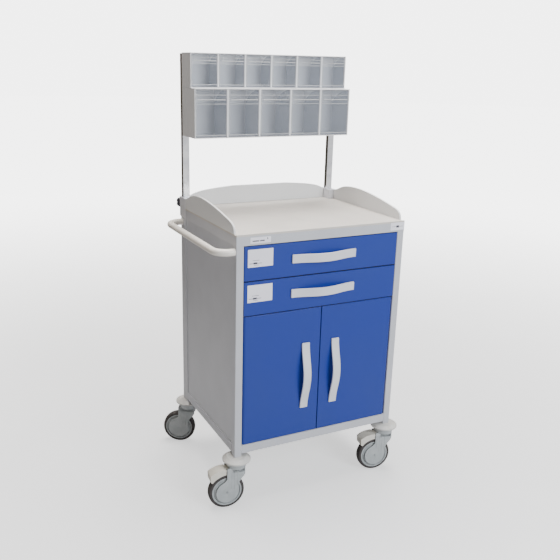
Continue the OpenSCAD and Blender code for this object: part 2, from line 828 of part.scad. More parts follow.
// Moulded fork with its steel axle, and with a pedal pin where the caster has a brake
module caster_fork(i, braked) at_caster(i) {
    leg_y = leg_gap + leg_t;
    axle_y = leg_y + 1.5;
    color(caster_grey)
        difference() {
            union() {
                translate([0, 0, fork_deck + 19])
                    cylinder(r1 = fork_neck_r - 3, r2 = fork_neck_r, h = fork_top - fork_deck - 19);
                span([braked ? -22 : -38, -leg_gap - over, fork_deck],
                    [26, leg_gap + over, fork_deck + 21]);
                for (y = [-leg_y, leg_gap]) {
                    translate([0, y + leg_t, 0])
                        rotate([90, 0, 0])
                            linear_extrude(leg_t)
                                polygon(leg_outline);
                    translate([-trail, y + leg_t, tyre_r])
                        rotate([90, 0, 0])
                            cylinder(r = 16, h = leg_t);
                }
            }
            translate([0, 0, fork_deck - over])
                cylinder(r = stem_r + running, h = fork_top - fork_deck + 2 * over);
            translate([0, 0, fork_deck - over])
                cylinder(r = head_r + 2 * near, h = head_z + head_h + near - fork_deck + over);
            translate([-trail, leg_y + over, tyre_r])
                rotate([90, 0, 0])
                    cylinder(r = axle_r + running, h = 2 * leg_y + 2 * over);
            if (braked)
                translate([pedal_pivot.x, leg_y + over, pedal_pivot.y])
                    rotate([90, 0, 0])
                        cylinder(r = pedal_pin_r + running, h = 2 * leg_y + 2 * over);
        }
    color(steel) {
        translate([-trail, axle_y, tyre_r])
            rotate([90, 0, 0])
                cylinder(r = axle_r, h = 2 * axle_y);
        if (braked)
            translate([pedal_pivot.x, leg_y, pedal_pivot.y])
                rotate([90, 0, 0])
                    cylinder(r = pedal_pin_r, h = 2 * leg_y);
    }
}

// Wheel disc with a groove near its edge and a hub that runs on the axle
module caster_rim(i) color(caster_grey) at_caster(i)
    translate([-trail, 0, tyre_r])
        rotate([90, 0, 0])
            difference() {
                hub_w = 2 * (leg_gap - near);
                union() {
                    cylinder(r = rim_r, h = tyre_w, center = true);
                    cylinder(r = 3 * axle_r, h = hub_w, center = true);
                }
                cylinder(r = axle_r + running, h = hub_w + over, center = true);
                for (s = [-1, 1])
                    translate([0, 0, s * tyre_w / 2])
                        difference() {
                            cylinder(r = rim_r - 5, h = 3, center = true);
                            cylinder(r = rim_r - 7, h = 4, center = true);
                        }
            }

// Tyre with chamfered shoulders
module caster_tyre(i) color(tyre_grey) at_caster(i)
    translate([-trail, 0, tyre_r])
        rotate([90, 0, 0])
            rotate_extrude($fn = 96)
                polygon([[rim_r + 0.1, -tyre_w / 2], [tyre_r - 4, -tyre_w / 2],
                    [tyre_r - 1, -tyre_w / 2 + 3.5], [tyre_r, -tyre_w / 2 + 7],
                    [tyre_r, tyre_w / 2 - 7], [tyre_r - 1, tyre_w / 2 - 3.5],
                    [tyre_r - 4, tyre_w / 2], [rim_r + 0.1, tyre_w / 2]]);

// Hooded brake pedal over the wheel, hollowed to clear the tyre through its whole stroke
module brake_pedal(i) color(warm_white) at_caster(i) {
    side_y = leg_gap + leg_t;
    root_x = -41;
    clear_r = tyre_r + 4;
    knuckle_r = 6;
    tip = [-pedal_reach + 1, 132];
    outline = concat(
        curve([[root_x, 149], [root_x - 24, 149], [tip.x + 11, tip.y + 10], tip], 8),
        [[-pedal_reach + 3, 109]],
        [for (a = [140 : -9 : 95]) [-trail + (clear_r + 1) * cos(a), tyre_r + (clear_r + 1) * sin(a)]],
        [[root_x, 129.5]]);
    difference() {
        union() {
            translate([0, side_y, 0])
                rotate([90, 0, 0])
                    linear_extrude(2 * side_y)
                        polygon(outline);
            span([root_x - 2, -leg_gap + near, pedal_pivot.y - knuckle_r + 0.5],
                [pedal_pivot.x, leg_gap - near, pedal_pivot.y + knuckle_r - 0.5]);
            translate([pedal_pivot.x, leg_gap - near, pedal_pivot.y])
                rotate([90, 0, 0])
                    cylinder(r = knuckle_r, h = 2 * (leg_gap - near));
        }
        for (x = [-trail, -trail - 8])
            translate([x, leg_gap + 1, tyre_r])
                rotate([90, 0, 0])
                    cylinder(r = clear_r, h = 2 * leg_gap + 2);
        translate([pedal_pivot.x, side_y + over, pedal_pivot.y])
            rotate([90, 0, 0])
                cylinder(r = pedal_pin_r + running, h = 2 * side_y + 2 * over);
    }
}

// ---------- Assembly ----------

translate(shift) {
    corner_posts();
    top_frame();
    base_tray();
    side_panel_left();
    side_panel_right();
    back_panel();
    divider_panel();
    worktop();
    cupboard_shelf();
    slide_channels();
    push_handle();
    upright_sockets();
    door_catches();
    corner_bumpers();
    caster_stems();
    door_pivots();
    caster_fork(0, true);  // caster_fork_front_left
    caster_fork(1, true);  // caster_fork_front_right
    caster_fork(2, false);  // caster_fork_rear_left
    caster_fork(3, false);  // caster_fork_rear_right
    caster_rim(0);  // caster_rim_front_left
    caster_rim(1);  // caster_rim_front_right
    caster_rim(2);  // caster_rim_rear_left
    caster_rim(3);  // caster_rim_rear_right
    caster_tyre(0);  // caster_tyre_front_left
    caster_tyre(1);  // caster_tyre_front_right
    caster_tyre(2);  // caster_tyre_rear_left
    caster_tyre(3);  // caster_tyre_rear_right
    brake_pedal(0);  // brake_pedal_front_left
    brake_pedal(1);  // brake_pedal_front_right
    uprights();
    bin_rails();
    bin_housing_lower();
    bin_housing_upper();
    bin_dividers();
    bin_lower(1);  // bin_lower_1
    bin_lower(2);  // bin_lower_2
    bin_lower(3);  // bin_lower_3
    bin_lower(4);  // bin_lower_4
    bin_lower(5);  // bin_lower_5
    bin_upper(1);  // bin_upper_1
    bin_upper(2);  // bin_upper_2
    bin_upper(3);  // bin_upper_3
    bin_upper(4);  // bin_upper_4
    bin_upper(5);  // bin_upper_5
    bin_upper(6);  // bin_upper_6
    clamp_knob_left();
    clamp_knob_right();
    drawer_front_upper();
    drawer_front_lower();
    drawer_box_upper();
    drawer_box_lower();
    slide_middle_upper();
    slide_middle_lower();
    drawer_handle_upper();
    drawer_handle_lower();
    door_left();
    door_right();
    door_handle_left();
    door_handle_right();
}
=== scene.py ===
# %% [markdown]
# # A medication cart
# A sheet-steel cabinet on casters with two drawers, a two-door cupboard, a tray top, a push handle
# and a raised unit of clear bins that tip out. The measured parts come in as a fixed frame, and
# each visible piece is then modelled round them with its soft edges, its small features and its
# finish.

# %% Load the frame
import json
import math

import bmesh
import bpy
from mathutils import Matrix, Vector


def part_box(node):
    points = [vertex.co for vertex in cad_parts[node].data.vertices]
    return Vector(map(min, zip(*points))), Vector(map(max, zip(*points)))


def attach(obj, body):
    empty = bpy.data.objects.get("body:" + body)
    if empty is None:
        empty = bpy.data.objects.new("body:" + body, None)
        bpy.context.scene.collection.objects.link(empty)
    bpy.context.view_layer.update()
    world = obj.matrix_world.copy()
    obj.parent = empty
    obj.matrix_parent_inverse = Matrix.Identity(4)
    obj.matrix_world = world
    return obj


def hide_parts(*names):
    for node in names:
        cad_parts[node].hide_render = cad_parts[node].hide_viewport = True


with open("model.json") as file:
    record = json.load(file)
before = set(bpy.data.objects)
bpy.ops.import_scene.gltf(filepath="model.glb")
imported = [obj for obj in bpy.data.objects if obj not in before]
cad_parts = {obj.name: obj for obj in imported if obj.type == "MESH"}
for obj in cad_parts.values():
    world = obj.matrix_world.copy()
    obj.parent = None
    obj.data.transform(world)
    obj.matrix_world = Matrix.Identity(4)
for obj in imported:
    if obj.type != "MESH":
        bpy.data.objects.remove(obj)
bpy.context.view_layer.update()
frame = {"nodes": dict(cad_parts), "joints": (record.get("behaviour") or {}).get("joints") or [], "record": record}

# %% [markdown]
# ## Where things are
# The cabinet's own middle is the handiest place to measure from, because the cart is nearly the
# same on both sides. It lies under the middle of the worktop. Sizes are written in millimetres.

# %% Places
MM = 0.001
top_lo, top_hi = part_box("worktop")
MIDDLE = Vector(((top_lo.x + top_hi.x) / 2, (top_lo.y + top_hi.y) / 2, 0))
HALF_W = (top_hi.x - top_lo.x) / 2 / MM
HALF_D = (top_hi.y - top_lo.y) / 2 / MM
BAND_Z = top_lo.z / MM
TOP_Z = 947


def at(x, y, z):
    """A place in millimetres from the cabinet's middle, above the floor."""
    return MIDDLE + Vector((x, y, z)) * MM


def sides(node):
    """Both corners of a node's box, in millimetres from the cabinet's middle."""
    return [(corner - MIDDLE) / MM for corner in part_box(node)]


print("cabinet half width and depth", round(HALF_W, 1), round(HALF_D, 1))

# %% [markdown]
# ## The camera
# The viewer stands to the left of the front and looks a little down. The lens is a short telephoto,
# about 46 mm on a full frame, so the uprights stay nearly parallel. The camera is turned by its
# three axes, because that also allows the slight roll of a hand-held shot.

# %% Camera
YAW, PITCH, ROLL = 0.4554, -0.3002, 0.0211
forward = Vector((math.sin(YAW) * math.cos(PITCH), math.cos(YAW) * math.cos(PITCH),
                  math.sin(PITCH)))
level = Vector((math.cos(YAW), -math.sin(YAW), 0))
upward = level.cross(forward)
right = level * math.cos(ROLL) + upward * math.sin(ROLL)
up = upward * math.cos(ROLL) - level * math.sin(ROLL)

bpy.ops.object.camera_add(location=at(-1160.9, -2182.1, 1443.6))
camera = bpy.context.object
camera.name = "camera"
camera.rotation_euler = Matrix((right, up, -forward)).transposed().to_euler()
camera.data.sensor_width = 36
camera.data.lens = 45.87
camera.data.shift_x, camera.data.shift_y = 0.0288, 0.0101
bpy.context.scene.camera = camera
print("camera at", [round(v, 3) for v in camera.location])

# %% [markdown]
# ## Light
# Plain studio light: one large soft lamp in front on the right, a stronger one overhead, and a dim
# warm room all round. The left side of the cabinet faces away from the front lamp, which is what
# gives it its warm grey. The camera alone sees a bright white sky instead of the room.

# %% Light
SKY_GLOW = 5.0


def lamp(name, place, size, watts, colour):
    """A square soft lamp that shines at the middle of the cart."""
    bpy.ops.object.light_add(type="AREA", location=place)
    light = bpy.context.object
    light.name = name
    light.data.shape = "SQUARE"
    light.data.size = size
    light.data.energy = watts
    light.data.color = colour
    light.rotation_euler = (at(0, 0, 700) - Vector(place)).to_track_quat("-Z", "Y").to_euler()


lamp("key_lamp", (1.0, -3.6, 2.3), 1.8, 152, (0.89, 0.945, 1.0))
lamp("top_lamp", (0.2, 0.5, 4.0), 2.4, 285, (1.0, 0.975, 0.95))
world = bpy.data.worlds.new("pale_room")
bpy.context.scene.world = world
world.use_nodes = True
room = world.node_tree.nodes["Background"]
room.inputs["Color"].default_value = (1.0, 0.925, 0.83, 1.0)
room.inputs["Strength"].default_value = 0.25
sky = world.node_tree.nodes.new("ShaderNodeBackground")
sky.inputs["Color"].default_value = (1.0, 1.0, 1.0, 1.0)
sky.inputs["Strength"].default_value = SKY_GLOW
seen = world.node_tree.nodes.new("ShaderNodeLightPath")
either = world.node_tree.nodes.new("ShaderNodeMixShader")
world.node_tree.links.new(seen.outputs["Is Camera Ray"], either.inputs["Fac"])
world.node_tree.links.new(room.outputs["Background"], either.inputs[1])
world.node_tree.links.new(sky.outputs["Background"], either.inputs[2])
world.node_tree.links.new(either.outputs["Shader"],
                          world.node_tree.nodes["World Output"].inputs["Surface"])
print("lamps and room are set")

# %% [markdown]
# ## Tools for the finishes
# Real surfaces are never one flat colour. A coat of paint has a faint orange-peel, a moulding a
# fine grain, and both drift a little in tone and gloss from place to place. Each finish below is
# built from those three layers, with its grain given in millimetres.

# %% Finish tools
def srgb(code):
    """A '#rrggbb' colour as the linear values that a shader works in."""
    parts = [int(code[i:i + 2], 16) / 255 for i in (1, 3, 5)]
    return [p / 12.92 if p <= 0.04045 else ((p + 0.055) / 1.055) ** 2.4 for p in parts] + [1.0]


def add(tree, kind, inputs=None, **settings):
    """Adds a shader node with its settings; an input is a value or another node's output."""
    node = tree.nodes.new("ShaderNode" + kind)
    for name, value in settings.items():
        setattr(node, name, value)
    for socket, value in (inputs or {}).items():
        if isinstance(value, bpy.types.NodeSocket):
            tree.links.new(value, node.inputs[socket])
        else:
            node.inputs[socket].default_value = value
    return node


def finish_of(name, light, dark, rough, grain, relief, drift=90, stretch=(1, 1, 1), gloss=0.05,
              **shader_values):
    """A finish with a drifting tone, an uneven gloss and a grain; grain, relief and drift in mm."""
    made = bpy.data.materials.new(name)
    made.use_nodes = True
    tree = made.node_tree
    shader = tree.nodes["Principled BSDF"]
    where = add(tree, "TexCoord").outputs["Object"]
    along = add(tree, "Mapping", {"Vector": where, "Scale": stretch}).outputs["Vector"]
    fine = add(tree, "TexNoise", {"Vector": along, "Scale": 1 / (grain * MM), "Detail": 3.0})
    broad = add(tree, "TexNoise", {"Vector": where, "Scale": 1 / (drift * MM), "Detail": 2.0})
    share = add(tree, "MapRange", {"Value": broad.outputs["Fac"], "From Min": 0.35,
                                   "From Max": 0.65}).outputs["Result"]
    tone = add(tree, "Mix", {"Factor": share, 6: srgb(light), 7: srgb(dark)}, data_type="RGBA")
    tree.links.new(tone.outputs[2], shader.inputs["Base Color"])
    uneven = add(tree, "MapRange", {"Value": fine.outputs["Fac"], "From Min": 0.3, "From Max": 0.7,
                                    "To Min": rough - gloss, "To Max": rough + gloss})
    tree.links.new(uneven.outputs["Result"], shader.inputs["Roughness"])
    bump = add(tree, "Bump", {"Height": fine.outputs["Fac"], "Strength": 0.5,
                              "Distance": relief * MM})
    tree.links.new(bump.outputs["Normal"], shader.inputs["Normal"])
    for socket, value in shader_values.items():
        shader.inputs[socket.replace("_", " ")].default_value = value
    return made


# %% [markdown]
# ## The finishes
# - Powder coat on the steel frame: pale grey, satin, with an orange-peel of a few tenths of a
#   millimetre, drawn here at 3 mm so that it shows.
# - Powder coat on the fronts: the same coat in a clean blue and a little glossier.
# - ABS of the tray top: warm off-white with a leather-like moulded grain.
# - Grey nylon of the casters, cream nylon of the pedals and paler nylon of the bumpers, polyamide
#   of the bow handles, ABS of the housings.
# - Clear styrene of the bins, with a second, whitish finish on its edges that is painted highlight.
# - Chrome plate on the uprights, zinc on the slides, and a grey soft tread on the wheels.
# - Near-black painted shade on the strips behind the gaps round the fronts, and paper and faint
#   print of the cards.

# %% Finishes
FINISH = {
    "frame_paint": finish_of("light_grey_powder_coat", "#C6C7CD", "#C2C3C9", 0.42, 3, 0.02),
    "front_paint": finish_of("blue_powder_coat", "#1A3591", "#1D378F", 0.33, 4, 0.03, drift=160,
                             Specular_IOR_Level=0.4),
    "worktop_plastic": finish_of("tray_abs", "#D3CDC6", "#CDC7C0", 0.5, 2.5, 0.05),
    "handle_plastic": finish_of("handle_polyamide", "#E3E3E8", "#DCDCE2", 0.45, 2, 0.04),
    "push_tube_paint": finish_of("warm_white_powder_coat", "#F5EFE6", "#EFE9E0", 0.38, 3, 0.03),
    "housing_plastic": finish_of("housing_abs", "#F1F1F2", "#EBEBED", 0.45, 2.5, 0.04),
    "knob_plastic": finish_of("black_phenolic", "#2E2F36", "#3A3B42", 0.35, 1.5, 0.05),
    "caster_plastic": finish_of("grey_nylon", "#B6BABB", "#ABB0B1", 0.48, 2, 0.06, drift=25),
    "pedal_plastic": finish_of("cream_nylon", "#E6E1D5", "#DCD7CB", 0.45, 2, 0.05, drift=25),
    "tyre_rubber": finish_of("grey_soft_tread", "#4A4544", "#403C3B", 0.7, 1.5, 0.1, drift=20),
    "zinc_steel": finish_of("zinc_plate", "#B4B8BD", "#A5A9AF", 0.34, 6, 0.02, Metallic=1.0),
    # Drawn tube keeps fine marks along its length, so its grain is stretched along Z
    "upright_chrome": finish_of("chrome_plate", "#DEDFE2", "#C6C8CE", 0.12, 7, 0.12, drift=40,
                                stretch=(1, 1, 0.02), gloss=0.04, Metallic=1.0),
    "bin_clear": finish_of("clear_styrene", "#DFE5F1", "#D5DCE9", 0.1, 30, 0.01, gloss=0.04,
                           IOR=1.59),
}
# A clear wall seen head on hides little, and one seen along its surface hides nearly all
tree = FINISH["bin_clear"].node_tree
slant = add(tree, "LayerWeight", {"Blend": 0.3}).outputs["Facing"]
cover = add(tree, "MapRange", {"Value": slant, "To Min": 0.075, "To Max": 0.8})
tree.links.new(cover.outputs["Result"], tree.nodes["Principled BSDF"].inputs["Alpha"])
# A whitish finish for the bins' edges, painted highlight for the bright lines along clear edges
EDGE = finish_of("clear_styrene_edge", "#F4F3F0", "#EAE9E8", 0.2, 20, 0.01, Alpha=0.62)
# Near-black painted shade for the strips and faces that darken the gaps round the fronts
GAP_SHADE = finish_of("black_foam_seal", "#17181D", "#1D1E24", 0.8, 1.5, 0.05)
PAPER = finish_of("card_paper", "#FAF8FF", "#F5F2FC", 0.4, 1.5, 0.02)
BUMPER = finish_of("bumper_nylon", "#D8D6D1", "#CFCDC9", 0.42, 2, 0.05, drift=25)
INK = finish_of("faint_print", "#4E4B58", "#5A5764", 0.5, 1.5, 0.01)
FLOOR = finish_of("pale_floor", "#BFC0C2", "#BCBDBF", 0.6, 8, 0.02, drift=600,
                  Emission_Color=(1.0, 1.0, 1.0, 1.0))
print(len(FINISH), "finishes")

# %% [markdown]
# ## Floor and dark flag
# The floor is a wide pale disc that brightens, for the camera alone, until it meets the white sky.
# Beyond 2.6 m it also glows for glossy rays alone, a painted reflection for the chrome and bins.
# Chrome only shows what stands round it, and paint takes its shade side from there too. So a studio
# stands a dark flag beside its subject. Here it is a dark warm cloth behind on the left, which the
# camera doesn't see and which throws no shadow.

# %% Floor and flag
bpy.ops.mesh.primitive_circle_add(vertices=96, radius=30, fill_type="NGON", location=(0, 0, 0))
floor = bpy.context.object
floor.name = "floor"
floor.data.materials.append(FLOOR)
tree = FLOOR.node_tree
distance = add(tree, "VectorMath", {0: add(tree, "TexCoord").outputs["Object"]}, operation="LENGTH")
glow = add(tree, "MapRange", {"Value": distance.outputs["Value"], "From Min": 0.4, "From Max": 6.0,
                              "To Min": 1.0, "To Max": SKY_GLOW}, interpolation_type="SMOOTHSTEP")
# Painted reflection: the far floor glows for glossy rays only, so the chrome shows a bright band
far_painted_reflection = add(tree, "MapRange", {"Value": distance.outputs["Value"], "From Min": 2.6,
                                   "From Max": 4.4, "To Max": 1.15})
ray = add(tree, "LightPath")
for_camera = add(tree, "Math", {0: glow.outputs["Result"], 1: ray.outputs["Is Camera Ray"]},
                 operation="MULTIPLY")
for_gloss = add(tree, "Math", {0: far_painted_reflection.outputs["Result"], 1: ray.outputs["Is Glossy Ray"],
                               2: for_camera.outputs[0]}, operation="MULTIPLY_ADD")
tree.links.new(for_gloss.outputs[0], tree.nodes["Principled BSDF"].inputs["Emission Strength"])

bpy.ops.mesh.primitive_plane_add(size=1, location=(-1.6, 1.2, 1.25),
                                 rotation=(0, math.pi / 2, math.radians(-35)))
flag = bpy.context.object
flag.name = "dark_flag"
flag.scale = (2.5, 4.8, 1)
flag.data.materials.append(finish_of("dark_cloth", "#3D362C", "#443D33", 0.9, 2, 0.1))
flag.visible_camera = flag.visible_shadow = flag.visible_transmission = False
print("floor", floor.dimensions[:], "flag", flag.dimensions[:])

# %% [markdown]
# ## Tools for modelling
# Every piece grows in the same few ways that one uses by hand: from a block, from an outline that
# is filled and pulled out, or from a profile that is spun. Faces, edges and points are then picked
# by their place, and are pulled, sliced or repainted. Nothing may stay selected from the step
# before, so each tool clears the selection.

# %% Modelling tools
SAME = 1e-6
ACROSS, BACK, UPWARDS = Vector((1, 0, 0)), Vector((0, 1, 0)), Vector((0, 0, 1))


def rest():
    """Leaves edit mode and lets go of every object."""
    if bpy.context.object and bpy.context.object.mode != "OBJECT":
        bpy.ops.object.mode_set(mode="OBJECT")
    bpy.ops.object.select_all(action="DESELECT")


def begin(name):
    """Names the new primitive, fixes its place in its mesh and opens it for editing."""
    piece = bpy.context.object
    piece.name = piece.data.name = name
    bpy.ops.object.transform_apply(location=True, rotation=True, scale=True)
    bpy.ops.object.mode_set(mode="EDIT")
    return piece


def block(name, low, high):
    """A cube brought to two opposite corners, open in edit mode."""
    rest()
    bpy.ops.mesh.primitive_cube_add(size=1, location=(low + high) / 2)
    bpy.context.object.scale = high - low
    return begin(name)


def chain(name, points):
    """One point, extruded from place to place along the list."""
    rest()
    bpy.ops.mesh.primitive_plane_add(size=MM, location=points[0])
    piece = begin(name)
    bpy.ops.mesh.select_mode(type="VERT")
    bpy.ops.mesh.merge(type="CENTER")
    for here, there in zip(points, points[1:]):
        bpy.ops.mesh.extrude_vertices_move(TRANSFORM_OT_translate={"value": there - here})
    return piece


def tidy():
    """Merges doubled points and turns every face outwards."""
    bpy.ops.mesh.select_all(action="SELECT")
    bpy.ops.mesh.remove_doubles(threshold=SAME)
    bpy.ops.mesh.normals_make_consistent(inside=False)


def cut_out(name, outline, depth):
    """A closed outline, filled and pulled out to its thickness."""
    piece = chain(name, outline + outline[:1])
    bpy.ops.mesh.select_all(action="SELECT")
    bpy.ops.mesh.remove_doubles(threshold=SAME)
    bpy.ops.mesh.edge_face_add()
    bpy.ops.mesh.extrude_region_move(TRANSFORM_OT_translate={"value": depth})
    tidy()
    return piece


def turned(name, profile, centre, axis, steps=64):
    """A profile of (radius, height) in millimetres, spun round an axis."""
    out = axis.orthogonal().normalized()
    piece = chain(name, [centre + (out * r + axis * h) * MM for r, h in profile])
    bpy.ops.mesh.select_all(action="SELECT")
    bpy.ops.mesh.spin(steps=steps, angle=math.tau, center=centre, axis=axis)
    tidy()
    return piece


def pull(x, y, z):
    """Extrudes the selected faces by a distance in millimetres."""
    bpy.ops.mesh.extrude_region_move(TRANSFORM_OT_translate={"value": (x * MM, y * MM, z * MM)})


def pull_edges(x, y, z):
    """Extrudes the selected edges by a distance in millimetres."""
    bpy.ops.mesh.extrude_edges_move(TRANSFORM_OT_translate={"value": (x * MM, y * MM, z * MM)})


def slice_at(place, way):
    """Adds edges to the whole mesh along a plane through a place."""
    bpy.ops.mesh.select_all(action="SELECT")
    bpy.ops.mesh.bisect(plane_co=place, plane_no=way)


def flatten():
    """Dissolves the edges between faces that lie in one plane."""
    bpy.ops.mesh.select_all(action="SELECT")
    bpy.ops.mesh.dissolve_limited(angle_limit=math.radians(1))


def pick(piece, test, kind="FACE"):
    """Selects only the faces, edges or points whose middle, in millimetres, passes the test."""
    bpy.ops.mesh.select_mode(type=kind)
    bpy.ops.mesh.select_all(action="DESELECT")
    mesh = bmesh.from_edit_mesh(piece.data)
    chosen = 0
    for item in {"FACE": mesh.faces, "EDGE": mesh.edges, "VERT": mesh.verts}[kind]:
        if kind == "FACE":
            middle, way = item.calc_center_median(), item.normal
        elif kind == "EDGE":
            middle = (item.verts[0].co + item.verts[1].co) / 2
            way = (item.verts[1].co - item.verts[0].co).normalized()
        else:
            middle, way = item.co, None
        if test((middle - MIDDLE) / MM, way):
            item.select_set(True)
            chosen += 1
    mesh.select_flush_mode()
    bmesh.update_edit_mesh(piece.data)
    return chosen


def modify(piece, kind, **settings):
    """Adds one modifier and applies it."""
    modifier = piece.modifiers.new(kind.title(), kind)
    for name, value in settings.items():
        setattr(modifier, name, value)
    bpy.ops.object.modifier_apply(modifier=modifier.name)


def soften(piece, radius=0.8, steps=2, angle=30, smooth=38):
    """Rounds the sharp edges by a radius in millimetres and shades the piece."""
    bpy.ops.object.mode_set(mode="OBJECT")
    if radius:
        modify(piece, "BEVEL", width=radius * MM, segments=steps, limit_method="ANGLE",
               angle_limit=math.radians(angle))
    bpy.ops.object.shade_smooth_by_angle(angle=math.radians(smooth))
    modify(piece, "WEIGHTED_NORMAL", keep_sharp=True)
    return piece


def join(name, parts):
    """Several objects made one."""
    rest()
    for part in parts:
        part.select_set(True)
    bpy.context.view_layer.objects.active = parts[0]
    if len(parts) > 1:
        bpy.ops.object.join()
    piece = bpy.context.object
    piece.name = piece.data.name = name
    return piece


def copy_of(piece, name, move):
    """A copy with its own mesh, moved by a distance."""
    rest()
    piece.select_set(True)
    bpy.context.view_layer.objects.active = piece
    bpy.ops.object.duplicate(linked=False)
    twin = bpy.context.object
    twin.name = twin.data.name = name
    twin.location = move
    bpy.ops.object.transform_apply(location=True, rotation=False, scale=False)
    return twin


def coat(piece, finish):
    """Gives the piece one finish all over."""
    piece.data.materials.clear()
    piece.data.materials.append(finish)
    return piece


def repaint(piece, finish, test):
    """Gives a second finish to the faces that pass the test."""
    piece.data.materials.append(finish)
    pick(piece, test)
    piece.active_material_index = 1
    bpy.ops.object.material_slot_assign()
    bpy.ops.object.mode_set(mode="OBJECT")


def fit(piece, slot, body, *nodes):
    """Gives the piece its finish, its body and the measured nodes that it stands for."""
    if not piece.data.materials:
        coat(piece, FINISH[slot])
    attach(piece, body)
    if nodes:
        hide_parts(*nodes)
    print(piece.name, len(piece.data.polygons), "faces on", body)
    return piece


# %% [markdown]
# ## Sheet-metal parts that stay as measured
# Inside the cabinet are the shelf, the slides, the drawer boxes and the folded ring. Their measured
# shapes are right as they are, so they only get a finish.

# %% Finish for every measured node
for node in frame["nodes"].values():
    slot = next(p["material_slot"] for p in frame["record"]["subparts"] if p["node"] == node.name)
    for spot in node.material_slots:
        spot.material = FINISH[slot]
    if not node.material_slots:
        node.data.materials.append(FINISH[slot])
print("dressed", len(frame["nodes"]), "nodes")

# %% [markdown]
# ## Folded sheet with soft bends
# The outer panels, the base tray and the rails are bent from sheet, so their edges have a small
# radius that catches the light. A copy of the measured mesh is merged, its flat triangles are
# dissolved into whole faces, and its edges are then bevelled.

# %% Soft-edged sheet parts
def soft_copy(node, radius, steps=2):
    """A copy of a measured node with rounded edges, which then stands for it."""
    piece = copy_of(frame["nodes"][node], node + "_soft", (0, 0, 0))
    piece.parent = None
    for key in [k for k in piece.keys() if k.startswith("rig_")]:
        del piece[key]
    bpy.ops.object.mode_set(mode="EDIT")
    bpy.ops.mesh.select_all(action="SELECT")
    bpy.ops.mesh.remove_doubles(threshold=SAME)
    flatten()
    return soften(piece, radius, steps)


for node, radius in (("side_panel_left", 0.7), ("side_panel_right", 0.7), ("back_panel", 0.7),
                     ("base_tray", 0.9)):
    fit(soft_copy(node, radius), "frame_paint", "root", node)
fit(soft_copy("bin_rails", 0.8), "frame_paint", "bin_unit", "bin_rails")

# The divider between drawers and cupboard shows only in the gap over the doors; its front faces there get the
# near-black painted shade
divider = coat(soft_copy("divider_panel", 0.4), FINISH["frame_paint"])
front_back = sides("drawer_front_lower")[1].y
bpy.ops.object.mode_set(mode="EDIT")
# Painted shade: the divider's front faces in the gap are made near-black
repaint(divider, GAP_SHADE, lambda p, way: p.y < front_back + 0.2)
fit(divider, "frame_paint", "root", "divider_panel")

# %% [markdown]
# ## Corner posts
# Each post is a square steel tube, and a drawn tube always has rounded corners. A block gets its
# four upright edges bevelled, loses its two ends, and the skin left over is given the wall's
# thickness.

# %% Corner posts
def tube(name, low, high, corner, wall):
    """An upright rectangular tube with rounded corners and open ends."""
    piece = block(name, low, high)
    pick(piece, lambda p, way: abs(way.z) > 0.9, "EDGE")
    bpy.ops.mesh.bevel(offset=corner * MM, segments=4)
    pick(piece, lambda p, way: abs(way.z) > 0.9)
    bpy.ops.mesh.delete(type="FACE")
    bpy.ops.object.mode_set(mode="OBJECT")
    modify(piece, "SOLIDIFY", thickness=wall * MM, offset=-1)
    return soften(piece, 0)


post_lo, post_hi = sides("corner_posts")
FRONT_POST, REAR_POST = (26, 26), (30, 50)
TUBE_CORNER, TUBE_WALL = 2.5, 1.5
posts = []
for side in (-1, 1):
    for (wide, deep), front in ((FRONT_POST, True), (REAR_POST, False)):
        y0 = post_lo.y if front else post_hi.y - deep
        x0, x1 = sorted((side * HALF_W, side * (HALF_W - wide)))
        posts.append(tube("post", at(x0, y0, post_lo.z), at(x1, y0 + deep, post_hi.z),
                          TUBE_CORNER, TUBE_WALL))
fit(join("corner_post_tubes", posts), "frame_paint", "root", "corner_posts")

# %% [markdown]
# ## Tray top
# The tray is a moulding of ABS with a low lip in front and upstands on three sides, whose crests
# rise and fall in a long curve. Its skirt below the moulded edge is a painted steel band. The slab
# is a block whose rear end is pulled back between the two sockets. Each upstand is an outline that
# is filled and pulled out, and all sharp edges get the generous radius of a moulding.

# %% Tray slab
EDGE_H, SLAB_T, LIP_D, LIP_H = 5, 3.6, 6, 1.5
SOCKET_Y = sides("upright_sockets")[0].y - 0.3
REAR_HALF = HALF_W - REAR_POST[0] - 0.3
slab = block("tray_slab", at(-HALF_W, -HALF_D, BAND_Z), at(HALF_W, SOCKET_Y, TOP_Z))
for x in (-REAR_HALF, REAR_HALF):
    slice_at(at(x, 0, 0), ACROSS)
pick(slab, lambda p, way: way.y > 0.9 and abs(p.x) < REAR_HALF - 1)
pull(0, HALF_D - SOCKET_Y, 0)
slice_at(at(0, -HALF_D + LIP_D, 0), BACK)
pick(slab, lambda p, way: way.z > 0.9 and p.y < -HALF_D + LIP_D - 1)
pull(0, 0, LIP_H)
pick(slab, lambda p, way: way.z < -0.9)
bpy.ops.mesh.delete(type="FACE")
flatten()
bpy.ops.object.mode_set(mode="OBJECT")
modify(slab, "SOLIDIFY", thickness=SLAB_T * MM, offset=-1)
coat(slab, FINISH["worktop_plastic"])
bpy.ops.object.mode_set(mode="EDIT")
slice_at(at(0, 0, TOP_Z - EDGE_H), UPWARDS)
repaint(slab, FINISH["frame_paint"], lambda p, way: abs(way.z) < 0.3 and p.z < TOP_Z - EDGE_H)
soften(slab, 1.4, 3)
print("slab", len(slab.data.polygons), "faces")

# %% [markdown]
# The crest of each upstand is drawn with smooth curves through four guide points, as a
# draughtsman's spline would be. A side starts with a round nose at the front, and the rear one is
# flat in the middle.

# %% Upstands
def curve(points, steps):
    """Points on a smooth curve that starts and ends at the outer two of four guide points."""
    a, b, c, d = (Vector(p) for p in points)
    return [tuple((1 - t) ** 3 * a + 3 * (1 - t) ** 2 * t * b + 3 * (1 - t) * t * t * c
                  + t ** 3 * d)
            for t in (i / steps for i in range(steps + 1))]


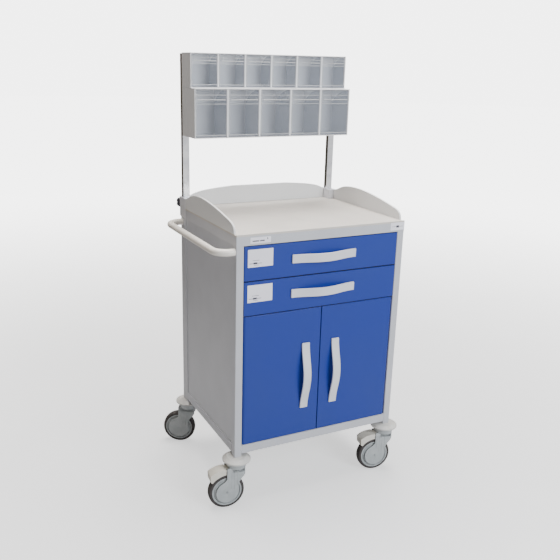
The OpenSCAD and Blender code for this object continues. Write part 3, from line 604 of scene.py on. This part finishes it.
CREST, CORNER, UPSTAND_T = top_hi.z / MM - TOP_Z, 35, 7
y0 = -HALF_D + 20
long = SOCKET_Y - y0
nose = 0.56 * CREST
side_line = [(y0, -2)] + curve([(y0, 0), (y0, 0.4 * CREST), (y0 + 17, 0.48 * CREST),
                                (y0 + 42, nose)], 8)
side_line += curve([(y0 + 42, nose), (y0 + 0.38 * long, 0.91 * CREST),
                    (y0 + 0.64 * long, 1.14 * CREST), (y0 + 0.84 * long, 0.88 * CREST)], 16)[1:]
side_line += curve([(y0 + 0.84 * long, 0.88 * CREST), (y0 + 0.9 * long, 0.79 * CREST),
                    (y0 + 0.95 * long, CORNER + 3), (SOCKET_Y, CORNER)], 8)[1:] + [(SOCKET_Y, -2)]
walls = []
for side in (-1, 1):
    x = side * HALF_W
    outline = [at(x, y, TOP_Z + h) for y, h in side_line]
    wall = cut_out("side_upstand", outline, Vector((-side * UPSTAND_T * MM, 0, 0)))
    walls.append(soften(wall, 2.4, 3, angle=50))
half_line = curve([(-REAR_HALF, CORNER), (-REAR_HALF + 26, 0.85 * CREST),
                   (-REAR_HALF + 91, 0.91 * CREST), (-REAR_HALF + 171, CREST)], 12)
rear_line = [(-REAR_HALF, -2)] + half_line
rear_line += [(-x, h) for x, h in half_line[::-1]] + [(REAR_HALF, -2)]
outline = [at(x, HALF_D, TOP_Z + h) for x, h in rear_line]
wall = cut_out("rear_upstand", outline, Vector((0, -UPSTAND_T * MM, 0)))
walls.append(soften(wall, 2.4, 3, angle=50))
fit(join("tray_top", [slab] + walls), "worktop_plastic", "root", "worktop")

# %% [markdown]
# ## Drawer fronts and doors
# Each front is a shallow pan of folded steel, closed in front and open behind. The block's rear
# face is inset and pushed in, which leaves the folded rim, and the outer edges get a small bend
# radius. Near-black strips behind the gaps round the fronts are painted shade, which is why the
# gaps look black.

# %% Fronts
SHEET, TOP_GAP = 1.6, 1


def front_pan(name, node, rim):
    """A pan with its open side at the back."""
    low, high = sides(node)
    high.z -= TOP_GAP
    piece = block(name, at(*low), at(*high))
    pick(piece, lambda p, way: way.y > 0.9)
    bpy.ops.mesh.inset(thickness=rim * MM)
    pull(0, low.y + SHEET - high.y, 0)
    return soften(piece, 1.1, 3)


def seal(low, high):
    """A near-black strip behind the gap beside a front, painted shade that darkens the gap."""
    return coat(soften(block("seal", at(*low), at(*high)), 0.3, 2), GAP_SHADE)


for level in ("upper", "lower"):
    node = "drawer_front_" + level
    low, high = sides(node)
    pan = coat(front_pan(node + "_pan", node, 1.5), FINISH["front_paint"])
    # Painted shade: a near-black strip behind the gap under each drawer front
    strip = seal((low.x + 1, low.y + 3, low.z - 2.8), (high.x - 1, low.y + 8, low.z + 0.1))
    fit(join(node + "_pan", [pan, strip]), "front_paint", "drawer_" + level, node)
low, high = sides("drawer_front_upper")
# Painted shade: a near-black strip behind the gap between the upper drawer and the band
strip = seal((low.x + 1, low.y + 3, high.z - 0.6), (high.x - 1, low.y + 8, BAND_Z + 1))
strip.name = "band_seal"
fit(strip, "knob_plastic", "root")

# %% [markdown]
# A door turns on pins inside its outer edge, so that edge is rounded about the pins and never
# touches the post. The outline seen from above is drawn once with that half round and pulled up to
# the door's height.

# %% Doors
def door(name, side):
    """A door: a flat pan whose hinge edge is a half round."""
    low, high = sides("door_right")
    r = (high.y - low.y) / 2
    hinge_x, hinge_y = high.x - r, low.y + r
    # From the meeting edge along the back to the hinge, round it, and back along the front
    outline = [(low.x, high.y), (low.x + 14, high.y), (low.x + 14, low.y + SHEET),
               (hinge_x - 2 * r, low.y + SHEET), (hinge_x - 2 * r, high.y), (hinge_x, high.y)]
    outline += [(hinge_x + r * math.sin(a), hinge_y + r * math.cos(a))
                for a in (math.pi * i / 12 for i in range(1, 12))]
    outline += [(hinge_x, low.y), (low.x, low.y)]
    points = [at(side * x, y, low.z + 1.5) for x, y in outline]
    skin = cut_out(name, points, Vector((0, 0, (high.z - low.z - 3) * MM)))
    soften(skin, 1.0, 3, angle=40)
    ends = []
    rim = [(low.x, high.y), (hinge_x, high.y)] + outline[6:-2] + [(hinge_x, low.y), (low.x, low.y)]
    for z in (low.z, high.z - 1.5):
        cap = cut_out(name, [at(side * x, y, z) for x, y in rim], Vector((0, 0, 1.5 * MM)))
        ends.append(soften(cap, 0.5, 2, angle=40))
    return join(name, [skin] + ends)


for side, name in ((-1, "left"), (1, "right")):
    leaf = coat(door("door_leaf_" + name, side), FINISH["front_paint"])
    if name == "left":
        low, high = sides("door_left")
        # Painted shade: a near-black strip behind the gap between the two doors
        strip = seal((high.x - 0.1, low.y + 4, low.z + 3), (high.x + 2.2, low.y + 9, high.z - 3))
        leaf = join("door_leaf_left", [leaf, strip])
    fit(leaf, "front_paint", "door_" + name, "door_" + name)

# %% [markdown]
# ## Bow handles
# A bow handle is one flat strip that lies level on the front at both ends and swings out between
# them like a wave. A chain of points follows the wave, is pulled out to the strip's width, and gets
# its thickness from a modifier. The long edges are rounded so that they feel soft in the hand.

# %% Bow handles
STRIP_T, WAVE_STEPS = 6, 40


def bow_handle(name, node, along):
    """A bowed strip inside the node's box, along X or along Z."""
    low, high = sides(node)
    mid = (low + high) / 2
    long = (high.x - low.x if along == "X" else high.z - low.z) / 2 - 0.5
    wide = (high.z - low.z if along == "X" else high.x - low.x) / 2
    rise = high.y - low.y - STRIP_T
    wave = []
    for i in range(WAVE_STEPS + 1):
        s = 2 * i / WAVE_STEPS - 1
        out = high.y - rise * (1 + math.cos(math.pi * s)) / 2
        wave.append(at(mid.x + s * long, out, mid.z - wide) if along == "X"
                    else at(mid.x - wide, out, mid.z + s * long))
    piece = chain(name, wave)
    bpy.ops.mesh.select_all(action="SELECT")
    pull_edges(*((0, 0, 2 * wide) if along == "X" else (2 * wide, 0, 0)))
    bpy.ops.mesh.select_all(action="SELECT")
    bpy.ops.mesh.normals_make_consistent(inside=False)
    mesh = bmesh.from_edit_mesh(piece.data)
    if sum(face.normal.y for face in mesh.faces) > 0:
        bpy.ops.mesh.flip_normals()
    bpy.ops.object.mode_set(mode="OBJECT")
    modify(piece, "SOLIDIFY", thickness=STRIP_T * MM, offset=1)
    return soften(piece, 1.6, 3, angle=50)


for level in ("upper", "lower"):
    node = "drawer_handle_" + level
    fit(bow_handle(node + "_bow", node, "X"), "handle_plastic", "drawer_" + level, node)
for side in ("left", "right"):
    node = "door_handle_" + side
    fit(bow_handle(node + "_bow", node, "Z"), "handle_plastic", "door_" + side, node)

# %% [markdown]
# ## Push handle
# A steel tube leaves the front post, bends, runs along the cabinet's side and bends back into the
# rear post. A ring of points is pulled along the straight runs and spun round the two bends, which
# is just how a tube bender works.

# %% Push handle
low, high = sides("push_handle")
TUBE_R, BEND, NEAR = 11.5, 42, 0.01
tube_z = (low.z + high.z) / 2
front_y, rear_y, run_x = low.y + TUBE_R, high.y - TUBE_R, low.x + TUBE_R
rest()
bpy.ops.mesh.primitive_circle_add(vertices=32, radius=TUBE_R * MM,
                                  location=at(high.x, front_y, tube_z),
                                  rotation=(0, math.pi / 2, 0))
rail = begin("push_handle_tube")
bpy.ops.mesh.select_mode(type="VERT")
straight = high.x - run_x - BEND
pull_edges(-straight, 0, 0)
bend_x = run_x + BEND


def sweep(spot, y):
    """Spins the points that pass the test through a quarter turn about a bend's middle."""
    pick(rail, spot, "VERT")
    # Spin counts its angle the other way round when no window is open
    bpy.ops.mesh.spin(steps=12, angle=math.pi / 2, center=at(bend_x, y, tube_z), axis=UPWARDS)


sweep(lambda p, way: abs(p.x - bend_x) < NEAR, front_y + BEND)
pick(rail, lambda p, way: abs(p.y - front_y - BEND) < NEAR, "VERT")
pull_edges(0, rear_y - front_y - 2 * BEND, 0)
sweep(lambda p, way: abs(p.y - rear_y + BEND) < NEAR, rear_y - BEND)
pick(rail, lambda p, way: abs(p.x - bend_x) < NEAR and p.y > 0, "VERT")
pull_edges(straight, 0, 0)
tidy()
print("rail box", [round(v, 1) for v in low], [round(v, 1) for v in high])
fit(soften(rail, 0), "push_tube_paint", "root", "push_handle")

# %% [markdown]
# ## Upright sockets
# A moulded block stands on each rear post and guides an upright through its opening. The opening is
# carved out of a rounded block by a Boolean modifier, because its walls differ in thickness.

# %% Sockets
UPRIGHT_W, UPRIGHT_D, SLIP = 25, 20, 0.3
upright_y1 = HALF_D - 2.5
upright_y0 = upright_y1 - UPRIGHT_D
UPRIGHT_X = HALF_W - REAR_POST[0] / 2


def carve(piece, cutter):
    """Cuts one finished piece with another, which is then removed."""
    rest()
    bpy.context.view_layer.objects.active = piece
    piece.select_set(True)
    modify(piece, "BOOLEAN", operation="DIFFERENCE", object=cutter, solver="EXACT")
    bpy.data.objects.remove(cutter)
    bpy.ops.object.mode_set(mode="EDIT")
    return piece


socket_lo, socket_hi = sides("upright_sockets")
sockets = []
for side in (-1, 1):
    x0, x1 = sorted((side * (HALF_W - REAR_POST[0]), side * (HALF_W + 1)))
    body = block("socket", at(x0, socket_lo.y, BAND_Z), at(x1, socket_hi.y, socket_hi.z))
    pick(body, lambda p, way: abs(way.z) > 0.9, "EDGE")
    bpy.ops.mesh.bevel(offset=3 * MM, segments=4)
    hole = block("hole", at(side * UPRIGHT_X - UPRIGHT_W / 2 - SLIP, upright_y0 - SLIP, BAND_Z - 5),
                 at(side * UPRIGHT_X + UPRIGHT_W / 2 + SLIP, upright_y1 + SLIP, socket_hi.z + 5))
    rest()
    sockets.append(soften(carve(body, hole), 1.0, 3))
fit(join("socket_blocks", sockets), "handle_plastic", "root", "upright_sockets")

# %% [markdown]
# ## Uprights
# Two chromed tubes carry the bins. Each is a rounded tube like the posts, with a black plug in its
# upper end and a guide block at its foot, which runs inside the post when the height is changed.

# %% Uprights
PLUG_H, GUIDE_H = 2.5, 25
up_lo, up_hi = sides("uprights")
parts = []
for side in (-1, 1):
    x0, x1 = side * UPRIGHT_X - UPRIGHT_W / 2, side * UPRIGHT_X + UPRIGHT_W / 2
    pipe = tube("pipe", at(x0, upright_y0, up_lo.z + GUIDE_H),
                at(x1, upright_y1, up_hi.z - PLUG_H), TUBE_CORNER, TUBE_WALL)
    parts.append(coat(pipe, FINISH["upright_chrome"]))
    plug = block("plug", at(x0, upright_y0, up_hi.z - PLUG_H), at(x1, upright_y1, up_hi.z))
    parts.append(coat(soften(plug, 0.9, 3), FINISH["knob_plastic"]))
    guide = block("guide", at(side * UPRIGHT_X - 13.2, HALF_D - 48.2, up_lo.z),
                  at(side * UPRIGHT_X + 13.2, HALF_D - 1.8, up_lo.z + GUIDE_H))
    parts.append(coat(soften(guide, 1.0), FINISH["knob_plastic"]))
fit(join("upright_tubes", parts), "upright_chrome", "bin_unit", "uprights")

# %% [markdown]
# ## Clamping knobs
# A star knob of black phenolic on a steel screw, behind each socket. Its outline is a circle with
# six shallow hollows for the fingers, pulled out and given a round edge.

# %% Knobs
knob_lo, knob_hi = sides("clamp_knob_left")
knob_x, knob_z = (knob_lo.x + knob_hi.x) / 2, (knob_lo.z + knob_hi.z) / 2
KNOB_R, GRIP_D, LOBES = 22, 16, 6
face_y = knob_hi.y
star = []
for i in range(72):
    a = math.tau * i / 72
    r = KNOB_R - 2.6 * (0.5 + 0.5 * math.cos(LOBES * a)) ** 2
    star.append(at(knob_x + r * math.cos(a), face_y - GRIP_D, knob_z + r * math.sin(a)))
grip = soften(cut_out("grip", star, Vector((0, GRIP_D * MM, 0))), 3.0, 4, angle=50)
axis_spot = at(knob_x, 0, knob_z)
hub = turned("hub", [(0, face_y - 22), (9.9, face_y - 22), (9.9, face_y - 15), (0, face_y - 15)],
             axis_spot, BACK, 40)
screw = turned("screw", [(0, knob_lo.y + 0.1), (4, knob_lo.y + 0.1), (4, face_y - 21),
                         (0, face_y - 21)], axis_spot, BACK, 32)
parts = [coat(grip, FINISH["knob_plastic"]), coat(soften(hub, 0.8), FINISH["knob_plastic"]),
         coat(soften(screw, 0.3), FINISH["zinc_steel"])]
knob = join("star_knob_left", parts)
other = copy_of(knob, "star_knob_right", (2 * (MIDDLE.x - axis_spot.x), 0, 0))
fit(knob, "knob_plastic", "knob_left", "clamp_knob_left")
fit(other, "knob_plastic", "knob_right", "clamp_knob_right")

# %% [markdown]
# ## Bin housings
# Each housing is one long ABS moulding with a bay for every bin. A block is cut by planes along the
# edges of the bays, and the faces of the bays are then pushed in together to their depth.

# %% Housings
WALL, DIVIDER = 3, 6
HOUSINGS = {"lower": 5, "upper": 6}


def bays(row):
    """The left edge and the width of each bay in a row, and the housing's corners."""
    low, high = sides("bin_housing_" + row)
    count = HOUSINGS[row]
    wide = (high.x - low.x - 2 * WALL - (count - 1) * DIVIDER) / count
    return [low.x + WALL + i * (wide + DIVIDER) for i in range(count)], wide, low, high


for row in HOUSINGS:
    lefts, wide, low, high = bays(row)
    case = block("housing_" + row, at(*low), at(*high))
    for x in [v for left in lefts for v in (left, left + wide)]:
        slice_at(at(x, 0, 0), ACROSS)
    for z in (low.z + WALL, high.z - WALL):
        slice_at(at(0, 0, z), UPWARDS)
    found = pick(case, lambda p, way: way.y < -0.9 and low.z + WALL < p.z < high.z - WALL
                 and any(left < p.x < left + wide for left in lefts))
    pull(0, high.y - low.y - WALL, 0)
    flatten()
    print(found, "bays in the", row, "row")
    fit(soften(case, 1.0, 3), "housing_plastic", "bin_unit", "bin_housing_" + row,
        "bin_dividers")

# %% [markdown]
# ## Tilt bins
# A clear bin hangs on two pins low in its bay and tips forward. Its side is a closed outline: a
# round foot about the pins, a flat floor, a low back and a top that is an arc about the pins, so it
# just clears the bay. The outline is pulled across, the top faces are deleted, and the skin is
# given its wall. The front carries a finger ledge, two thin stiffening ribs and a bead along its
# edges. The ledge, ribs and beads are real. They and the wall's rim get a whitish edge finish,
# which is painted highlight for the bright lines along the clear edges.

# %% Tilt bins
FOOT, BIN_T, SIDE_GAP = 6, 1.8, 0.8


def tilt_bin(name, row, left, wide, low, high):
    """One bin in its bay."""
    x0, w = left + SIDE_GAP, wide - 2 * SIDE_GAP
    py, pz = low.y + FOOT, low.z + WALL + FOOT + 1
    tall, deep = high.z - low.z - 2 * WALL - FOOT - 3, high.y - low.y - WALL - FOOT - 4
    start = math.acos(deep / tall)
    line = [(-FOOT * math.cos(a), -FOOT * math.sin(a))
            for a in (math.pi / 12 * i for i in range(7))]
    line += [(deep - 3, -FOOT), (deep, 3 - FOOT)]
    arc = [start + (math.radians(88) - start) * i / 10 for i in range(11)]
    line += [(tall * math.cos(a), tall * math.sin(a)) for a in arc] + [(0, tall), (-FOOT, tall)]
    shell = cut_out(name, [at(x0, py + y, pz + z) for y, z in line], Vector((w * MM, 0, 0)))
    pick(shell, lambda p, way: way.z > 0.3 and p.z > pz + 20)
    bpy.ops.mesh.delete(type="FACE")
    bpy.ops.object.mode_set(mode="OBJECT")
    # The rim gets the whitish edge finish, which is painted highlight along the clear wall's edges
    coat(shell, FINISH["bin_clear"]).data.materials.append(EDGE)
    modify(shell, "SOLIDIFY", thickness=BIN_T * MM, offset=-1, use_even_offset=True,
           material_offset_rim=1)
    parts = [soften(shell, 0.5, 2, angle=40)]
    front = py - FOOT
    # The finger ledge, two ribs across the front, and a bead up each side of it
    beads = [(inset * w, (1 - inset) * w, tall * share, tall * share + thick, out)
             for share, out, thick, inset in ((0.78, 5, 2.4, 0.06), (0.885, 1.2, 1.4, 0.0),
                                              (0.69, 1.2, 1.6, 0.0))]
    beads += [(x, x + 1.6, 0, tall, 0.6) for x in (0, w - 1.6)] + [(0, w, 0, 1.6, 0.6)]
    for x_in, x_out, z_in, z_out, out in beads:
        rib = block("rib", at(x0 + x_in, front - out, pz + z_in),
                    at(x0 + x_out, front + 0.4, pz + z_out))
        # The ledge, ribs and beads are coloured with the whitish painted highlight
        parts.append(coat(soften(rib, 0.5, 2), EDGE))
    for x in (x0 - 2, x0 + w):
        pin = turned("pin", [(0, 0), (2, 0), (2, 2), (0, 2)], at(x, py, pz), ACROSS, 24)
        parts.append(coat(soften(pin, 0.2), EDGE))
    return join(name, parts)


for row in HOUSINGS:
    lefts, wide, low, high = bays(row)
    first = tilt_bin(f"tilt_bin_{row}_1", row, lefts[0], wide, low, high)
    made = [first] + [copy_of(first, f"tilt_bin_{row}_{i + 1}", ((left - lefts[0]) * MM, 0, 0))
                      for i, left in list(enumerate(lefts))[1:]]
    for i, piece in enumerate(made):
        fit(piece, "bin_clear", f"bin_{row}_{i + 1}", f"bin_{row}_{i + 1}")

# %% [markdown]
# ## Corner bumpers
# A round nylon disc under each post keeps the cart off the walls. Its profile is a thick rim with a
# soft edge and a low cone above it, spun round the post's middle.

# %% Corner bumpers
JOINT = {joint["name"]: joint for joint in frame["joints"]}
WHERE = ("front_left", "front_right", "rear_left", "rear_right")
swivels = {name: Vector(JOINT[f"caster_{name}_swivel"]["pos_m"]) for name in WHERE}
bump_lo, bump_hi = sides("corner_bumpers")
BUMPER_Z, POST_Z, BUMPER_R = bump_lo.z, post_lo.z, 48
profile = [(8, BUMPER_Z), (45.5, BUMPER_Z), (47.3, BUMPER_Z + 0.6), (BUMPER_R, BUMPER_Z + 2),
           (BUMPER_R, BUMPER_Z + 5.6), (47, BUMPER_Z + 6.8), (34.5, POST_Z - 0.6),
           (33, POST_Z + 0.2), (8, POST_Z + 0.2), (8, BUMPER_Z)]
discs = []
for name in WHERE:
    spot = Vector((swivels[name].x, swivels[name].y, 0))
    discs.append(soften(turned("disc", profile, spot, UPWARDS, 72), 0))
fit(coat(join("bumper_discs", discs), BUMPER), "caster_plastic", "root", "corner_bumpers")

# %% [markdown]
# ## Casters
# One caster is modelled at the origin with its wheel trailing towards -X, and is then copied to
# each corner and turned. The nylon fork has a round neck, a deck and two legs. Each leg runs down
# into a round guard that hides the hub, and carries four shallow ribs.

# %% Caster tools
TRAIL, AXLE_Z, TYRE_R, TYRE_W = 37, 62.5, 62.5, 28
LEG_IN, LEG_OUT, DECK_Z, NECK_TOP, GUARD_R = 16, 20.5, 131, 171.4, 39
HUB = Vector((-TRAIL, 0, AXLE_Z)) * MM


def here(x, y, z):
    """A place in millimetres from the swivel axis, on the floor."""
    return Vector((x, y, z)) * MM


def place(piece, name, corner):
    """A copy of a caster's piece, turned and moved to its corner."""
    twin = copy_of(piece, name, (0, 0, 0))
    spin = JOINT[f"wheel_{corner}_spin"]["axis"]
    twin.rotation_euler.z = math.atan2(-spin[0], spin[1])
    twin.location = (swivels[corner].x, swivels[corner].y, 0)
    bpy.ops.object.transform_apply(location=True, rotation=True, scale=False)
    return twin


# %% Fork
def fork(name, deck_back):
    """A fork whose deck reaches back to a given place."""
    neck = turned("neck", [(7, DECK_Z + 17), (31, DECK_Z + 17), (33.5, DECK_Z + 24),
                           (36, NECK_TOP - 4), (36, NECK_TOP), (7, NECK_TOP), (7, DECK_Z + 17)],
                  Vector(), UPWARDS)
    parts = [soften(neck, 0.8, 3)]
    deck = block("deck", here(deck_back, -LEG_OUT, DECK_Z), here(26, LEG_OUT, DECK_Z + 21))
    parts.append(soften(deck, 3.0, 4))
    guard = [(-TRAIL + GUARD_R * math.cos(a), AXLE_Z + GUARD_R * math.sin(a))
             for a in (math.radians(18 - 266 * i / 40) for i in range(41))]
    leg = [(-38, DECK_Z + 19), (-36, DECK_Z + 21), (24, DECK_Z + 21), (26, DECK_Z + 19), (26, 127),
           (22, 118), (13, 108), (6, 98), (2.5, 88), (1.2, 80)] + guard
    leg += [(-44, 104), (-38, 111), (-38, 120)]
    for y, out in ((LEG_IN, 1), (-LEG_IN, -1)):
        wall = cut_out("leg", [here(x, y, z) for x, z in leg],
                       Vector((0, out * (LEG_OUT - LEG_IN) * MM, 0)))
        parts.append(soften(wall, 1.3, 3, angle=50))
        for x, foot in ((-31, 92), (-21, 74), (-11, 70), (-1, 84)):
            low_y, high_y = sorted((out * (LEG_OUT - 0.5), out * (LEG_OUT + 0.9)))
            rib = block("rib", here(x - 1.1, low_y, foot), here(x + 1.1, high_y, 140))
            parts.append(soften(rib, 0.7, 3))
    axle = turned("axle", [(0, -LEG_OUT), (4, -LEG_OUT), (4, LEG_OUT), (0, LEG_OUT)], HUB, BACK, 32)
    parts = [coat(part, FINISH["caster_plastic"]) for part in parts]
    return join(name, parts + [coat(soften(axle, 0.3), FINISH["zinc_steel"])])


forks = {True: fork("fork_braked", -22), False: fork("fork_plain", -38)}

# %% [markdown]
# The wheel is a nylon disc with a raised edge ring, set off by a groove, and a soft grey tread
# round it. Both are profiles spun about the axle, closed from one side to the other.

# %% Wheel
half = TYRE_W / 2
edge = [(5, 15.2), (12, 15.2), (13, 13), (42.5, 12.6), (43.6, 12), (44, 9.5), (46, 9.5),
        (46.4, 12.8), (47.4, half), (51, half), (52, 13)]
rim = turned("rim", edge + [(r, -h) for r, h in edge[::-1]] + edge[:1], HUB, BACK, 96)
soften(rim, 0)
tread = [(52.2, half), (56.5, half), (59.3, 13), (61.3, 10.8), (62.2, 7.5), (TYRE_R, 3.5),
         (TYRE_R, 0)]
tyre = turned("tyre", tread + [(r, -h) for r, h in tread[-2::-1]] + tread[:1], HUB, BACK, 96)
soften(tyre, 0)
print("rim and tyre", len(rim.data.polygons), len(tyre.data.polygons))

# %% [markdown]
# ## Brake pedals
# The two front casters have a hooded pedal over the wheel. Its side is an outline with a long
# curved back and an underside that follows the tyre. Two cylinders are carved out of it, so that it
# also clears the tyre when it is pressed down.

# %% Brake pedal
ROOT_X, TIP, CLEAR, INNER = -41, (-96, 132), TYRE_R + 4, 15.6
hood = curve([(ROOT_X, 149), (ROOT_X - 24, 149.5), (TIP[0] + 11, TIP[1] + 11), TIP], 12)
hood += [(-94.5, 110)]
hood += [(-TRAIL + (CLEAR + 1) * math.cos(a), AXLE_Z + (CLEAR + 1) * math.sin(a))
         for a in (math.radians(140 - 5 * i) for i in range(10))]
hood += [(ROOT_X, 130)]
pedal = cut_out("pedal", [here(x, -LEG_OUT, z) for x, z in hood], Vector((0, 2 * LEG_OUT * MM, 0)))
for x in (-TRAIL, -TRAIL - 8):
    rest()
    cutter = turned("cutter", [(0, -17), (CLEAR, -17), (CLEAR, 17), (0, 17)],
                    here(x, 0, AXLE_Z), BACK, 96)
    rest()
    pedal = carve(pedal, cutter)
soften(pedal, 1.8, 3, angle=40)
knuckle = turned("knuckle", [(2.4, -INNER), (6, -INNER), (6, INNER), (2.4, INNER), (2.4, -INNER)],
                 here(-31, 0, 143), BACK, 32)
soften(knuckle, 0.5)
bridge = soften(block("bridge", here(ROOT_X - 2, -INNER, 137.6), here(-33, INNER, 148.4)), 0.8)
pedal = join("pedal", [pedal, knuckle, bridge])
print("pedal", len(pedal.data.polygons), "faces")

# %% Casters at the corners
for corner in WHERE:
    braked = corner.startswith("front")
    fit(place(forks[braked], "fork_" + corner, corner), "caster_plastic", "caster_" + corner,
        "caster_fork_" + corner)
    fit(place(rim, "wheel_disc_" + corner, corner), "caster_plastic", "wheel_" + corner,
        "caster_rim_" + corner)
    fit(place(tyre, "wheel_tread_" + corner, corner), "tyre_rubber", "wheel_" + corner,
        "caster_tyre_" + corner)
    if braked:
        fit(place(pedal, "pedal_" + corner, corner), "pedal_plastic", "pedal_" + corner,
            "brake_pedal_" + corner)
for master in list(forks.values()) + [rim, tyre, pedal]:
    bpy.data.objects.remove(master)

# %% [markdown]
# ## Cards and plates
# Each drawer has a white card for its contents, and the front band a small nameplate on the left
# and a sticker on the right corner. They are thin plates with rounded corners. Their print is
# replaced by plain strokes that spell nothing.

# %% Cards and plates
def plate(name, low, high, y, strokes, body):
    """A thin card on a front at depth y; each stroke is a share of its width and height."""
    card = block(name, at(low[0], y - 0.7, low[1]), at(high[0], y + 0.1, high[1]))
    pick(card, lambda p, way: abs(way.y) > 0.9, "EDGE")
    bpy.ops.mesh.bevel(offset=1.2 * MM, segments=3)
    parts = [coat(soften(card, 0.15, 2), PAPER)]
    wide, tall = high[0] - low[0], high[1] - low[1]
    for x0, z0, x1, z1 in strokes:
        mark = block("mark", at(low[0] + x0 * wide, y - 0.85, low[1] + z0 * tall),
                     at(low[0] + x1 * wide, y - 0.6, low[1] + z1 * tall))
        parts.append(coat(soften(mark, 0.05, 1), INK))
    return fit(join(name, parts), "handle_plastic", body)


CARD_MARKS = ((0.05, 0.2, 0.55, 0.225), (0.22, 0.17, 0.37, 0.27), (0.18, 0.37, 0.46, 0.39),
              (0.24, 0.1, 0.44, 0.12))
for level in ("upper", "lower"):
    low, high = sides("drawer_front_" + level)
    z = (low.z + high.z) / 2 + 16
    plate("label_card_" + level, (low.x + 11.5, z - 28.5), (low.x + 98.5, z + 28.5), low.y,
          CARD_MARKS, "drawer_" + level)
plate("nameplate", (-HALF_W + 46.5, BAND_Z + 6), (-HALF_W + 116.5, BAND_Z + 25), -HALF_D,
      ((0.1, 0.3, 0.42, 0.5), (0.46, 0.3, 0.7, 0.5), (0.82, 0.55, 0.86, 0.85)), "root")
plate("corner_sticker", (HALF_W - 56.5, BAND_Z + 6), (HALF_W - 0.5, BAND_Z + 32), -HALF_D,
      ((0.08, 0.45, 0.9, 0.49), (0.4, 0.32, 0.6, 0.62)), "root")

# %% [markdown]
# ## Last step
# Edit mode is left and nothing stays selected.

# %% Finish
rest()
